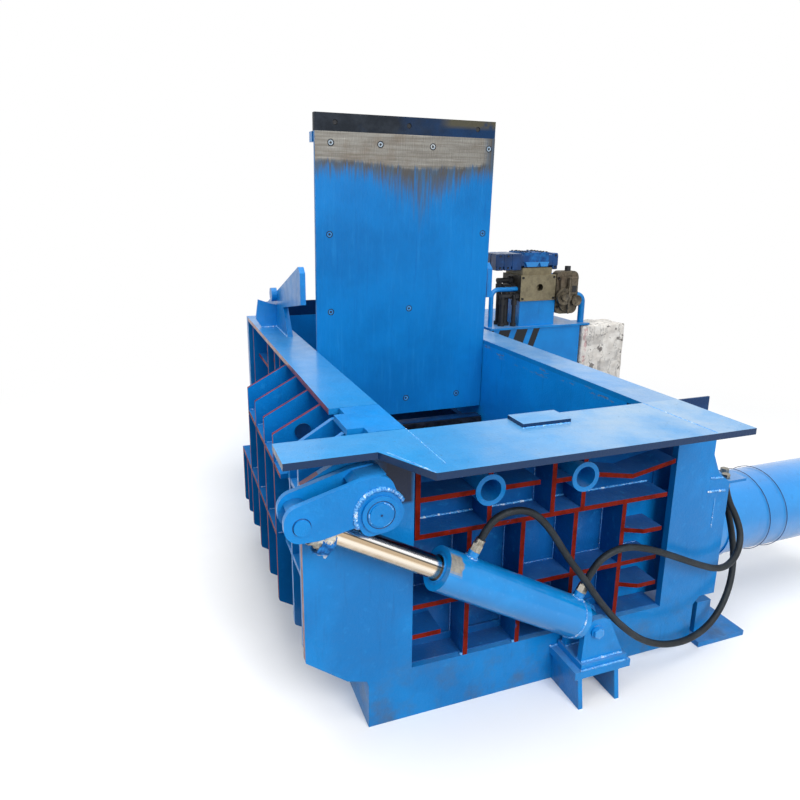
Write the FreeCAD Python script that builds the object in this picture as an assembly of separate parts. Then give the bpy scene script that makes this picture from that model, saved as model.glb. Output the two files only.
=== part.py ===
"""Turn-out scrap baler: one solid or group of solids per STEP file, in millimetres.

The origin lies on the floor, on the chamber's centreline, halfway along the base.
X runs to the right along the front face, Y runs back from it and Z runs up.
"""
import FreeCAD
import Part
import math
import os

V = FreeCAD.Vector
X_AXIS = V(1, 0, 0)
Y_AXIS = V(0, 1, 0)
Z_AXIS = V(0, 0, 1)

# ---- Driving dimensions, mm ----
# Base and chamber
base_length = 2400.0
base_height = 172.0
beam_reach = 557.0
base_right = 707.0
beam_width = 90.0
beam_web = 12.0
floor_thickness = 25.0
chamber_width = 842.0
wall = 25.0
bale_height = 363.0
bale_depth = 276.0
door_rim = (66.0, 318.0)
ram_gap = 3.0

# Rim, flanges and loading sheet
rim_height = 947.0
rim_thickness = 20.0
left_flange = 166.0
right_flange = 145.0
rim_opening = 50.0
throat_drop = 75.0
throat_plate = 25.0
sheet_overhang = 268.0
wing_overhang = 90.0
wing_reach = 812.0
wing_depth = 62.0
sheet_bevel_x = 469.0
wing_bevel_x = 559.0
pad_size = (165.0, 92.0, 12.0)
pad_place = (-10.0, 2.0)

# Front frame plate and its grid
front_plate = 25.0
front_depth = 100.0
pillar_outer = 750.0
window_left = 416.0
window_right = 550.0
window_bottom = 179.0
rib = 16.0
shelf_drop = 315.0
shelf_step = 234.0
shear_blade = (600.0, 680.0)
shear_thickness = 8.0
boss_outer = 51.0
boss_bore = 35.0
boss_drops = ((-167.0, 204.0), (176.0, 209.0))

# Side walls
rib_outer = 750.0
shoulder_drop = 107.0
rib_heel = 60.0
deep_rib_places = (434.0, 624.0, 832.0, 1040.0)
low_rib_places = (1180.0, 1315.0)
flat_rib_place = 1510.0
flat_rib_rear = 200.0
right_front_ribs = (480.0, 700.0, 930.0, 1180.0, 1460.0)
right_rear_rib = 50.0
wall_setback = 200.0
shelf_drops = (203.0, 467.0)
third_shelf_drop = 647.0
rear_shelf_drops = (96.0, 172.0, 160.0)
rear_shelf_inset = 27.0

# Feet
foot_post = (29.0, 93.0)
foot_post_front = (6.0, 120.0)
foot_post_rear = (-60.0, 40.0)
foot_inset = (3.0, 223.0)
foot_plate = 20.0

# Side ram and its cylinder
housing_length = 332.0
side_flange = 30.0
side_flange_top = 622.0
side_axis_height = 345.0
side_barrel_radius = 163.0
side_bore = 125.0
side_barrel_length = 822.0
side_rod_radius = 70.0
side_head_length = 300.0

# Main ram and its cylinder
ram_rest = 1170.0
ram_front = 60.0
ram_body_height = 312.0
ram_body_length = 420.0
crosshead = 60.0
main_barrel_radius = 150.0
main_bore = 112.0
main_barrel_length = 1020.0
main_rod_radius = 70.0

# Lid
lid_clearance = 3.0
lid_face = 1184.0
lid_lift = 53.0
lid_height = 1275.0
lid_wear = 20.0
lid_frame_depth = 76.0
blade_height = 72.0
hinge_rise = 184.5
hinge_radius = 40.0
running = 0.08
closed_gap = 5.0
lid_lean = 2.0
lid_arm_place = 230.0
lid_arm = 30.0
lid_pin_place = (1400.0, 405.5)
lid_seat_plate = 140.0
bolt_inset = 45.0
bolt_levels = (855.0, 515.0, 77.0)
lid_base_place = (50.0, 63.0)
lid_barrel_radius = 80.0
lid_bore = 62.5
lid_rod_radius = 40.0

# Arms that the open lid rests against
stop_front = 1225.0
stop_post = (1545.0, 1650.0)
stop_rises = (133.0, 203.0, 343.0, 371.0, 61.0)
cross_plate_place = 1855.0

# Turn-out door, crank and cylinder
door_gap = 3.0
door_rib_inset = 24.0
shaft_x = -565.0
shaft_drop = 158.0
shaft_radius = 32.0
hub_radius = 52.0
crank_reach = 210.0
crank_drop = 4.0
crank_front = 128.0
crank_plate = 20.0
crank_slot = 72.0
crank_end_radius = 46.0
crank_pin_radius = 22.0
foot_reach = 445.0
shaft_front = 140.0
shaft_rear = 462.0
turn_base = (174.0, 254.0)
turn_barrel_radius = 66.5
turn_bore = 50.0
turn_barrel_start = 463.0
turn_tail = 47.5
turn_rod_radius = 34.0
port_insets = (89.0, 40.0)
port_height = 87.2
hose_diameter = 23.0

# Power unit
tank_corner = (790.0, 1769.0)
tank_size = (626.0, 700.0, 808.0)
tank_leg = 60.0
tank_cover = 12.0
plinth = (195.0, 247.0, 153.0)
block_height = 155.0
sandwich_height = 47.0
valve_row = 66.0
valve_height = 88.0
coil_reach = 195.0
pump_place = (526.0, 195.0)
pump_size = (158.0, 264.0, 62.0)
motor_radius = 105.0
motor_length = 290.0
oil_pipe_radius = 20.0
cooler_size = (330.0, 190.0, 396.0)
cooler_low = 470.0

# ---- Places that follow from them ----
front = -base_length / 2
half = chamber_width / 2
wall_out = half + wall
tie_spacing = base_length / 4 - 40
floor_top = base_height + floor_thickness
rim_under = rim_height - rim_thickness
shelf_top = rim_height - shelf_drop
second_shelf = shelf_top - shelf_step
boss_places = tuple((x, rim_height - drop) for x, drop in boss_drops)
rib_shoulder = rim_height - shoulder_drop
shelf_heights = tuple(rim_height - drop for drop in shelf_drops)
shaft_place = (shaft_x, rim_height - shaft_drop)
channel_top = floor_top + bale_height
hinge_height = channel_top + hinge_rise
lid_bottom = channel_top + lid_lift
lid_top = lid_bottom + lid_height
grid_back = front + front_depth
chamber_front = grid_back + wall
door_start = chamber_front + door_gap
door_end = door_start + bale_depth
walls_start = door_end + door_gap
wall_length = base_length - wall_setback
walls_end = front + wall_length
rear_pitch = (wall_length - right_rear_rib - right_front_ribs[-1]) / 3
right_rib_places = right_front_ribs + tuple(
    right_front_ribs[-1] + rear_pitch * step for step in (1, 2, 3))
flat_rib_places = (flat_rib_place, wall_length - flat_rib_rear)
left_rim = half + left_flange
right_rim = half + right_flange
hinge_y = front + lid_face + hinge_height - channel_top - closed_gap
lid_half = half - lid_clearance
hinge_point = V(0, hinge_y, hinge_height)


# ---- Small tools ----
def box(x, y, z):
    """A block between the low and high value given for each axis."""
    return Part.makeBox(x[1] - x[0], y[1] - y[0], z[1] - z[0], V(x[0], y[0], z[0]))


def round_bar(radius, start, end):
    """A solid round bar between two points."""
    along = end - start
    return Part.makeCylinder(radius, along.Length, start, along)


def pipe(outer, inner, start, end):
    """A round tube between two points."""
    return round_bar(outer, start, end).cut(round_bar(inner, start, end))


def outline(corners):
    """A closed wire through (point, radius) corners, the rounded ones as arcs."""
    count = len(corners)
    turns = []
    for index, (point, radius) in enumerate(corners):
        back = (corners[index - 1][0] - point).normalize()
        ahead = (corners[(index + 1) % count][0] - point).normalize()
        if radius == 0:
            turns.append((point, point, point))
            continue
        half_angle = back.getAngle(ahead) / 2
        reach = radius / math.tan(half_angle)
        inward = (back + ahead).normalize()
        middle = point + inward * (radius / math.sin(half_angle) - radius)
        turns.append((point + back * reach, middle, point + ahead * reach))
    edges = []
    for index, (start, middle, end) in enumerate(turns):
        if start.distanceToPoint(end) > 0.001:
            edges.append(Part.Arc(start, middle, end).toShape())
        following = turns[(index + 1) % count][0]
        if end.distanceToPoint(following) > 0.001:
            edges.append(Part.LineSegment(end, following).toShape())
    return Part.Wire(edges)


def plate(points, place, depth):
    """A plate whose outline is given as (across, up) or (across, up, radius)."""
    corners = []
    for point in points:
        radius = point[2] if len(point) > 2 else 0
        corners.append((place(point[0], point[1]), radius))
    return Part.Face(outline(corners)).extrude(depth)


def plate_across(points, y, thickness):
    """A plate in an XZ plane, from y backwards."""
    return plate(points, lambda x, z: V(x, y, z), Y_AXIS * thickness)


def plate_along(points, x, thickness):
    """A plate in a YZ plane, from x to the right."""
    return plate(points, lambda y, z: V(x, y, z), X_AXIS * thickness)


def plate_flat(points, z, thickness):
    """A plate in an XY plane, from z upwards."""
    return plate(points, lambda x, y: V(x, y, z), Z_AXIS * thickness)


def hex_bar(across_flats, start, end):
    """A hexagonal bar between two points."""
    along = end - start
    corner = across_flats / math.sqrt(3)
    points = []
    for step in range(7):
        angle = math.radians(60 * step)
        points.append(V(corner * math.cos(angle), corner * math.sin(angle), 0))
    bar = Part.Face(Part.makePolygon(points)).extrude(V(0, 0, along.Length))
    bar.Placement = FreeCAD.Placement(start, FreeCAD.Rotation(Z_AXIS, along))
    return bar


def save(name, *shapes):
    """Write one node, a solid or a group of separate solids."""
    shape = shapes[0] if len(shapes) == 1 else Part.makeCompound(list(shapes))
    shape.exportStep(os.path.join("parts", name + ".step"))


# ---- Base and floor ----
def channel_beam(x_web, x_open, y):
    """A rolled channel along Y with its web at x_web and its flanges towards x_open."""
    side = 1 if x_open > x_web else -1
    depth = side * beam_web
    points = (
        (x_web, 0), (x_open, 0), (x_open, beam_web), (x_web + depth, beam_web),
        (x_web + depth, base_height - beam_web), (x_open, base_height - beam_web),
        (x_open, base_height), (x_web, base_height),
    )
    return plate_across(points, y[0], y[1] - y[0])


def make_base():
    """Two long channels tied by cross plates, with the floor plate on them."""
    span = (front + front_plate, front + base_length)
    inner = beam_reach - beam_width
    beams = [channel_beam(side * beam_reach, side * inner, span) for side in (-1, 1)]
    cross = (-inner, inner)
    for step in (-2, -1, 0, 1, 2):
        y = step * tie_spacing
        beams.append(box(cross, (y - beam_web / 2, y + beam_web / 2), (0, base_height)))
    save("base_frame", *beams)
    radius = math.hypot(foot_reach + door_gap, shaft_place[1] - floor_top) + door_gap
    cut_top = shaft_place[0] + math.sqrt(radius ** 2 - (shaft_place[1] - floor_top) ** 2)
    cut_low = shaft_place[0] + math.sqrt(radius ** 2 - (shaft_place[1] - base_height) ** 2)
    notch = ((-wall_out - 1, base_height - 1), (cut_low, base_height - 1),
             (cut_low, base_height), (cut_top, floor_top), (cut_top, floor_top + 1),
             (-wall_out - 1, floor_top + 1))
    floor = box((-wall_out, wall_out), (grid_back, walls_end), (base_height, floor_top))
    length = walls_start - door_start + door_gap
    save("floor_plate", floor.cut(plate_across(notch, chamber_front, length)))


# ---- Front frame ----
def make_front_frame():
    """The window plate with its two pillars, and the wall plate behind its grid."""
    lower_right = (
        (base_right, 0), (base_right, 154), (base_right + 26, 182), (803, 182),
        (803, 629, 12), (748, 670, 12), (pillar_outer - 36, 744, 12),
        (pillar_outer - 36, rib_shoulder + 18), (right_rim, rim_under),
    )
    lower_left = (
        (-left_rim, rim_under), (-pillar_outer, rib_shoulder), (-pillar_outer, 282, 8),
        (-624, 186), (-563, 168, 6), (-beam_reach, 150), (-beam_reach, 0),
    )
    sheet = plate_across(lower_right + lower_left, front, front_plate)
    top = rim_under - 27
    window = box((-window_left, window_right), (front - 1, front + front_plate + 1),
                 (window_bottom, top))
    bearing = round_bar(hub_radius, shaft_point(front - 1), shaft_point(front + front_plate + 1))
    save("front_frame_plate", sheet.cut(window).cut(bearing))
    low = rim_height - throat_drop
    edge = front + rim_opening
    upright = ((grid_back, floor_top), (chamber_front, floor_top), (chamber_front, low),
               (grid_back, low - 10))
    throat = ((chamber_front, low), (edge, rim_height), (edge, rim_height - throat_plate),
              (grid_back, low - 10))
    sheet = plate_along(upright, -wall_out, wall_out + half)
    pocket = box((-half + 2, half - 2), (chamber_front + 2 - shear_thickness, chamber_front + 1),
                 shear_blade)
    sheet = sheet.cut(pocket)
    housing_top = channel_top + ram_gap + wall
    span = (grid_back, chamber_front)
    right = box((half, window_right + rib), span, (housing_top, rim_under))
    post = box((half, wall_out), span, (floor_top, housing_top))
    save("front_wall_plate", sheet, plate_along(throat, -half, chamber_width), right, post)


def shaft_point(y):
    """A point on the turn-out shaft's axis."""
    return V(shaft_place[0], y, shaft_place[1])


def standing(x, z):
    """An upright rib of the front grid, centred on x."""
    return box((x - rib / 2, x + rib / 2), (front, grid_back), z)


def lying(x, top):
    """A level rib of the front grid, given by its top."""
    return box(x, (front, grid_back), (top - rib, top))


def short_shelf(x, top, corner):
    """A short shelf at a pillar with its free front corner cut off."""
    points = (
        (x[0], grid_back), (x[0], front + 0.45 * front_depth), (corner, front),
        (x[1], front), (x[1], grid_back),
    )
    return plate_flat(points, top - rib, rib)


def make_front_grid():
    """The open grid of plates that stiffens the front wall."""
    left_end = -405.0 - rib / 2
    right_end = 523.0
    top = rim_under - 27
    low_posts = (-232.0, -43.0, 154.0, 347.0)
    plates = [lying((left_end, right_end), shelf_top)]
    for x in (-405.0, 60.0):
        plates.append(standing(x, (shelf_top, top)))
    under = shelf_top - rib
    for index, x in enumerate(low_posts):
        plates.append(standing(x, (window_bottom, under)))
        if index:
            plates.append(lying((low_posts[index - 1] + rib / 2, x - rib / 2), second_shelf))
    plates.append(lying((low_posts[-1] + rib / 2, 504.0), second_shelf))
    plates.append(lying((-window_left, low_posts[0] - rib / 2), second_shelf))
    for place_x, place_z in boss_places:
        sides = ((-405.0, 60.0), (60.0, 523.0))[place_x > 60]
        level = place_z + rib / 2
        plates.append(lying((sides[0] + rib / 2, place_x - boss_outer), level))
        plates.append(standing(place_x, (place_z + boss_outer, top)))
        plates.append(standing(place_x, (shelf_top, place_z - boss_outer)))
    left_x, left_z = boss_places[0]
    straight = lying((left_x + boss_outer, 10.0), left_z + rib / 2)
    right_x, right_z = boss_places[1]
    bend = right_x + boss_outer + 140
    bent = plate_across((
        (right_x + boss_outer, right_z - rib / 2), (bend, right_z - rib - 18),
        (right_end + 20, right_z - 2), (right_end + 20, right_z + rib - 2),
        (bend, right_z - 18), (right_x + boss_outer, right_z + rib / 2)), front, front_depth)
    post = low_posts[-1] + rib / 2
    plates += [straight, bent]
    for level in (second_shelf + 108, second_shelf - 103):
        plates.append(short_shelf((post, 515.0), level, post + 83))
    plates.append(lying((-window_left, -320.0), second_shelf - 103))
    slope = plate_along((
        (front + rim_opening - 30, rim_height), (grid_back + 1, rim_height),
        (grid_back + 1, rim_height - throat_drop - 12), (front + rim_opening - 30, rim_height - 20),
    ), -rib_outer, 2 * rib_outer)
    save("front_wall_ribs", *[piece.cut(slope) for piece in plates])
    tubes = []
    for x, z in boss_places:
        tubes.append(pipe(boss_outer, boss_bore, V(x, front - 4, z), V(x, grid_back, z)))
    save("boss_tubes", *tubes)


# ---- Loading sheet and flanges ----
def make_rim():
    """The flat loading sheet in front, its pad and the flanges on both side walls."""
    back_left = front + wing_depth
    opening = front + rim_opening
    points = (
        (-wing_reach, back_left), (-wing_reach, front - wing_overhang),
        (-wing_bevel_x, front - wing_overhang), (-sheet_bevel_x, front - sheet_overhang),
        (right_rim, front - sheet_overhang), (right_rim, opening), (-half, opening),
        (-half, back_left),
    )
    sheet = plate_flat(points, rim_under, rim_thickness)
    px, py = pad_place
    corner = V(px - pad_size[0] / 2, front + py - pad_size[1] / 2, rim_height)
    pad = Part.makeBox(pad_size[0], pad_size[1], pad_size[2], corner)
    save("hopper_sheet", sheet.fuse(pad).removeSplitter())
    left = box((-left_rim, -half), (front + door_rim[1] + door_gap, walls_end), (rim_under, rim_height))
    right = box((half, right_rim), (opening, walls_end), (rim_under, rim_height))
    save("top_flanges", left, right)


# ---- Side walls ----
def rib_outline(side, low, top):
    """The outline of a deep outside rib, with its slanted shoulder or cut level at top."""
    rim = left_rim if side < 0 else right_rim
    points = [
        (wall_out, low), (rib_outer - rib_heel, low + 8), (rib_outer, low + 45, 10),
    ]
    if top < rib_shoulder:
        points += [(rib_outer, top), (rim, top)]
    else:
        points.append((rib_outer, rib_shoulder, 6))
    points += [(rim, rim_under), (wall_out, rim_under)]
    return tuple((side * point[0],) + tuple(point[1:]) for point in points)


def door_sweep(y_from, y_to, more):
    """The round space about the shaft that the door's upper part swings in."""
    radius = math.hypot(-half - shaft_place[0], rim_height - shaft_place[1]) + more
    return round_bar(radius, shaft_point(y_from), shaft_point(y_to))


def hinge_round(radius, reach):
    """A round bar on the lid hinge's axis, reaching to both sides."""
    return round_bar(radius, V(-reach, hinge_y, hinge_height), V(reach, hinge_y, hinge_height))


def shelf(side, outer, span, level):
    """A level plate outside a wall, between two ribs, given by its top."""
    x = sorted((side * wall_out, side * outer))
    return box(x, span, (level - rib, level))


def make_left_ribs():
    """The left wall's ribs: deep ones in front, then low ones, then ones under the flange."""
    low = base_height
    ribs = []
    second = shelf_heights[1]
    for place in deep_rib_places:
        ribs.append(plate_across(rib_outline(-1, low, rim_height), front + place, rib))
    for place in low_rib_places:
        ribs.append(plate_across(rib_outline(-1, low, second), front + place, rib))
    for place in flat_rib_places:
        y = front + place
        ribs.append(box((-left_rim, -wall_out), (y, y + rib), (low, rim_under)))
    first = front + deep_rib_places[0]
    lead = front + door_rim[1] + door_gap
    ribs.append(shelf(-1, rib_outer - 1, (lead, first), shelf_heights[0]))
    lows = deep_rib_places + low_rib_places
    for near, far in zip(lows, lows[1:]):
        span = (front + near + rib, front + far)
        ribs.append(shelf(-1, rib_outer - 1, span, second))
        if far <= deep_rib_places[-1]:
            ribs.append(shelf(-1, rib_outer - 1, span, shelf_heights[0]))
    bays = (low_rib_places[-1],) + flat_rib_places
    ends = [front + place for place in flat_rib_places] + [walls_end]
    for near, end, drop in zip(bays, ends, rear_shelf_drops):
        span = (front + near + rib, end)
        for level in (rim_height - drop, second + 37):
            ribs.append(shelf(-1, left_rim - rear_shelf_inset, span, level))
    clear = hinge_round(hinge_radius + 34, wall_out + 42)
    clear = clear.fuse(round_bar(hub_radius, shaft_point(front), shaft_point(front + 600)))
    save("left_wall_ribs", *[piece.cut(clear) for piece in ribs])


def make_right_ribs():
    """The right wall's ribs, all deep, with three levels of shelves between them."""
    ribs = []
    for place in right_rib_places:
        ribs.append(plate_across(rib_outline(1, base_height, rim_height), front + place, rib))
    clear = hinge_round(hinge_radius + 34, wall_out + 42)
    for level in shelf_heights + (rim_height - third_shelf_drop,):
        for near, far in zip(right_rib_places, right_rib_places[1:]):
            span = (front + near + rib, front + far)
            ribs.append(shelf(1, rib_outer - 1, span, level).cut(clear))
    save("right_wall_ribs", *ribs)


def make_wall_plates():
    """Both side walls: the left one has a tab by the door, the right one a window for the ram."""
    hole = hinge_round(hinge_radius, rib_outer)
    x = (-wall_out, -half)
    tab = box(x, (front + door_rim[1] + door_gap, walls_start), (floor_top, rim_under))
    tab = tab.common(door_sweep(front + door_rim[1], walls_start, 0))
    left = box(x, (walls_start, walls_end), (floor_top, rim_under)).fuse(tab)
    save("left_wall_plate", left.cut(hole).removeSplitter())
    right = box((half, wall_out), (chamber_front, walls_end), (floor_top, rim_under))
    window = box((half - 1, wall_out + 1), (chamber_front, walls_start),
                 (floor_top, channel_top + ram_gap))
    save("right_wall_plate", right.cut(hole).cut(window))


# ---- Side ram ----
def make_side_ram():
    """The ram in its welded housing on the right, with its cylinder."""
    inner_y = (chamber_front, walls_start)
    inner_z = (floor_top, channel_top + ram_gap)
    end = wall_out + housing_length
    run = (wall_out, end)
    outer_y = (inner_y[0] - wall, inner_y[1] + wall)
    plates = [
        box(run, outer_y, (inner_z[0] - wall, inner_z[0])),
        box(run, outer_y, (inner_z[1], inner_z[1] + wall)),
        box(run, (outer_y[0], inner_y[0]), inner_z),
        box(run, (inner_y[1], outer_y[1]), inner_z),
    ]
    save("side_ram_housing", *plates)
    middle = (inner_y[0] + inner_y[1]) / 2
    axis = lambda x: V(x, middle, side_axis_height)
    low = base_height - 22
    flange = box((end, end + side_flange), (front + 40, walls_start + 50), (low, side_flange_top))
    flange = flange.cut(round_bar(side_rod_radius + 4, axis(end - 1), axis(end + 40)))
    bracket = box((end + side_flange, end + side_flange + 96), (front + 18, front + 106),
                  (side_flange_top - 10, side_flange_top))
    save("side_cylinder_flange", flange, bracket)
    seat = end + side_flange
    tail = seat + side_barrel_length
    barrel = pipe(side_barrel_radius, side_bore, axis(seat), axis(tail - 50))
    for start in (seat, seat + 150):
        barrel = barrel.fuse(pipe(side_barrel_radius + 5, side_barrel_radius - 3,
                                  axis(start), axis(start + 24)))
    cap = round_bar(side_barrel_radius, axis(tail - 50), axis(tail))
    cap = cap.fuse(round_bar(side_barrel_radius - 45, axis(tail), axis(tail + 16)))
    save("side_cylinder_barrel", barrel.fuse(cap).removeSplitter())
    face = half
    block = box((face, face + side_head_length), (inner_y[0] + ram_gap, inner_y[1] - ram_gap),
                (floor_top + ram_gap, channel_top))
    pocket = box((face + 60, face + side_head_length + 1),
                 (inner_y[0] + 40, inner_y[1] - 40), (floor_top + 45, channel_top - 45))
    save("side_ram_head", block.cut(pocket))
    piston = tail - 50 - 60
    rod = round_bar(side_rod_radius, axis(face + 60), axis(piston))
    rod = rod.fuse(round_bar(side_bore - 0.1, axis(piston - 50), axis(piston)))
    save("side_ram_rod", rod.removeSplitter())


# ---- Main ram ----
def make_main_ram():
    """The long ram behind the chamber, its crosshead and its cylinder."""
    axis_z = floor_top + ram_body_height / 2 + 20
    axis = lambda y: V(0, y, axis_z)
    face = front + ram_rest
    ram_half = half - ram_gap
    low = floor_top + ram_gap
    nose = box((-ram_half, ram_half), (face, face + ram_front), (low, channel_top))
    body_top = floor_top + ram_body_height
    body = box((-ram_half, ram_half), (face + ram_front, face + ram_front + ram_body_length),
               (low, body_top))
    for sign in (-1, 1):
        x = sorted((sign * 30, sign * (ram_half - 30)))
        pocket = box(x, (face + ram_front + 30, face + ram_front + ram_body_length - 40),
                     (low + 40, body_top + 1))
        body = body.cut(pocket)
    save("main_ram_head", nose.fuse(body).removeSplitter())
    strip = box((-ram_half + 6, ram_half - 6), (face - 16, face), (channel_top - 44, channel_top - 3))
    for index in range(4):
        x = -300 + 200 * index
        strip = strip.cut(round_bar(9, V(x, face - 20, channel_top - 24), V(x, face - 6, channel_top - 24)))
    save("main_ram_blade", strip)
    head_end = face + ram_front + ram_body_length
    plate_y = (walls_end, walls_end + crosshead)
    tail = plate_y[1] + main_barrel_length
    piston = tail - 130
    rod = round_bar(main_rod_radius, axis(head_end), axis(piston))
    rod = rod.fuse(round_bar(main_bore - 0.1, axis(piston), axis(piston + 60)))
    save("main_ram_rod", rod.removeSplitter())
    head = box((-left_rim, right_rim), plate_y, (base_height, rim_height))
    head = head.cut(round_bar(main_rod_radius + 4, axis(plate_y[0] - 1), axis(plate_y[1] + 1)))
    save("rear_crosshead", head)
    barrel = pipe(main_barrel_radius, main_bore, axis(plate_y[1]), axis(tail - 60))
    barrel = barrel.fuse(pipe(main_barrel_radius + 25, main_barrel_radius - 3,
                              axis(plate_y[1]), axis(plate_y[1] + 45)))
    cap = round_bar(main_barrel_radius, axis(tail - 60), axis(tail))
    cap = cap.fuse(round_bar(main_barrel_radius - 40, axis(tail), axis(tail + 20)))
    save("main_cylinder_barrel", barrel.fuse(cap).removeSplitter())
    stand_y = tail - 260
    stand = plate_across(((-170, 0), (170, 0), (130, axis_z), (-130, axis_z)), stand_y, 30)
    stand = stand.cut(round_bar(main_barrel_radius, axis(stand_y - 1), axis(stand_y + 31)))
    foot = box((-200, 200), (stand_y - 60, stand_y + 90), (0, 20))
    return stand.fuse(foot).removeSplitter()


# ---- Lid ----
def lean(shape):
    """A lid piece as it stands at rest, tipped forward about the hinge."""
    copy = shape.copy()
    copy.rotate(hinge_point, X_AXIS, lid_lean)
    return copy


def make_lid():
    """The lid as a boxed plate with a wear face, blade, bolts and two hinge arms."""
    face = front + lid_face
    back = face + lid_wear
    frame_back = back + lid_frame_depth
    wear = box((-lid_half, lid_half), (face, back), (lid_bottom, lid_top))
    bolts = []
    levels = [lid_top - bolt_inset] + [lid_bottom + level for level in bolt_levels]
    shares_by_row = ((-0.86, -0.32, 0.28, 0.96), (-0.88, 0.94), (-0.87, 0.05), (-0.6, 0.04, 0.7))
    for level, shares in zip(levels, shares_by_row):
        for share in shares:
            x = share * (lid_half - 12)
            hole = Part.makeCone(15, 9, 10, V(x, face, level), Y_AXIS)
            wear = wear.cut(hole)
            head = Part.makeCone(14, 8.4, 9, V(x, face + 1, level), Y_AXIS)
            bolts.append(lean(head.cut(hex_bar(10, V(x, face - 1, level), V(x, face + 6, level)))))
    save("lid_wear_plate", lean(wear))
    save("lid_bolts", *bolts)
    inset = 26
    frame = []
    edge = lid_half - inset - rib / 2
    for x in (-edge, -lid_arm_place, 0, lid_arm_place, edge):
        frame.append(lean(box((x - rib / 2, x + rib / 2), (back, frame_back),
                              (lid_bottom + rib, lid_top - rib))))
    across = (-lid_half + inset, lid_half - inset)
    frame.append(lean(box(across, (back, frame_back), (lid_top - rib, lid_top))))
    frame.append(lean(box(across, (back, frame_back), (lid_bottom, lid_bottom + rib))))
    seat_x = (-lid_arm_place + lid_arm / 2, lid_arm_place - lid_arm / 2)
    pin_z = hinge_height + lid_pin_place[1]
    seat_z = (pin_z - lid_seat_plate, pin_z + lid_seat_plate)
    frame.append(lean(box(seat_x, (frame_back, frame_back + rib), seat_z)))
    for sign in (-1, 1):
        x = sorted((sign * lid_half, sign * (lid_half - inset)))
        frame.append(lean(box(x, (back + 24, frame_back), (lid_top - 42, lid_top))))
    save("lid_frame", *frame)
    blade = box((-lid_half, lid_half), (face + 2, face + 34), (lid_top, lid_top + blade_height))
    for x in (-330, 0, 330):
        z = lid_top + blade_height / 2
        blade = blade.cut(round_bar(11, V(x, face, z), V(x, face + 40, z)))
    save("lid_blade", lean(blade))
    arms = []
    hub_y, hub_z = hinge_y, hinge_height
    points = (
        (frame_back, lid_bottom + 12), (hub_y, hub_z - 66, 30), (hub_y + 66, hub_z - 20, 40),
        (hub_y + 66, hub_z + 60, 60), (frame_back + 60, hub_z + 585, 60),
        (frame_back, hub_z + 735),
    )
    for sign in (-1, 1):
        start = sign * lid_arm_place - lid_arm / 2
        arm = plate_along(points, start, lid_arm)
        hub = pipe(66, hinge_radius + running, V(start - 25, hub_y, hub_z), V(start + 55, hub_y, hub_z))
        clear = round_bar(hinge_radius + running, V(start - 26, hub_y, hub_z), V(start + 56, hub_y, hub_z))
        arms.append(lean(arm.cut(clear).fuse(hub).removeSplitter()))
    save("lid_arms", *arms)
    shaft = round_bar(hinge_radius, V(-wall_out - 40, hub_y, hub_z), V(wall_out + 40, hub_y, hub_z))
    rings = [shaft]
    for sign in (-1, 1):
        near = V(sign * wall_out, hub_y, hub_z)
        far = V(sign * (wall_out + 40), hub_y, hub_z)
        rings.append(pipe(hinge_radius + 32, hinge_radius, near, far))
    save("lid_hinge_shaft", *rings)


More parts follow.
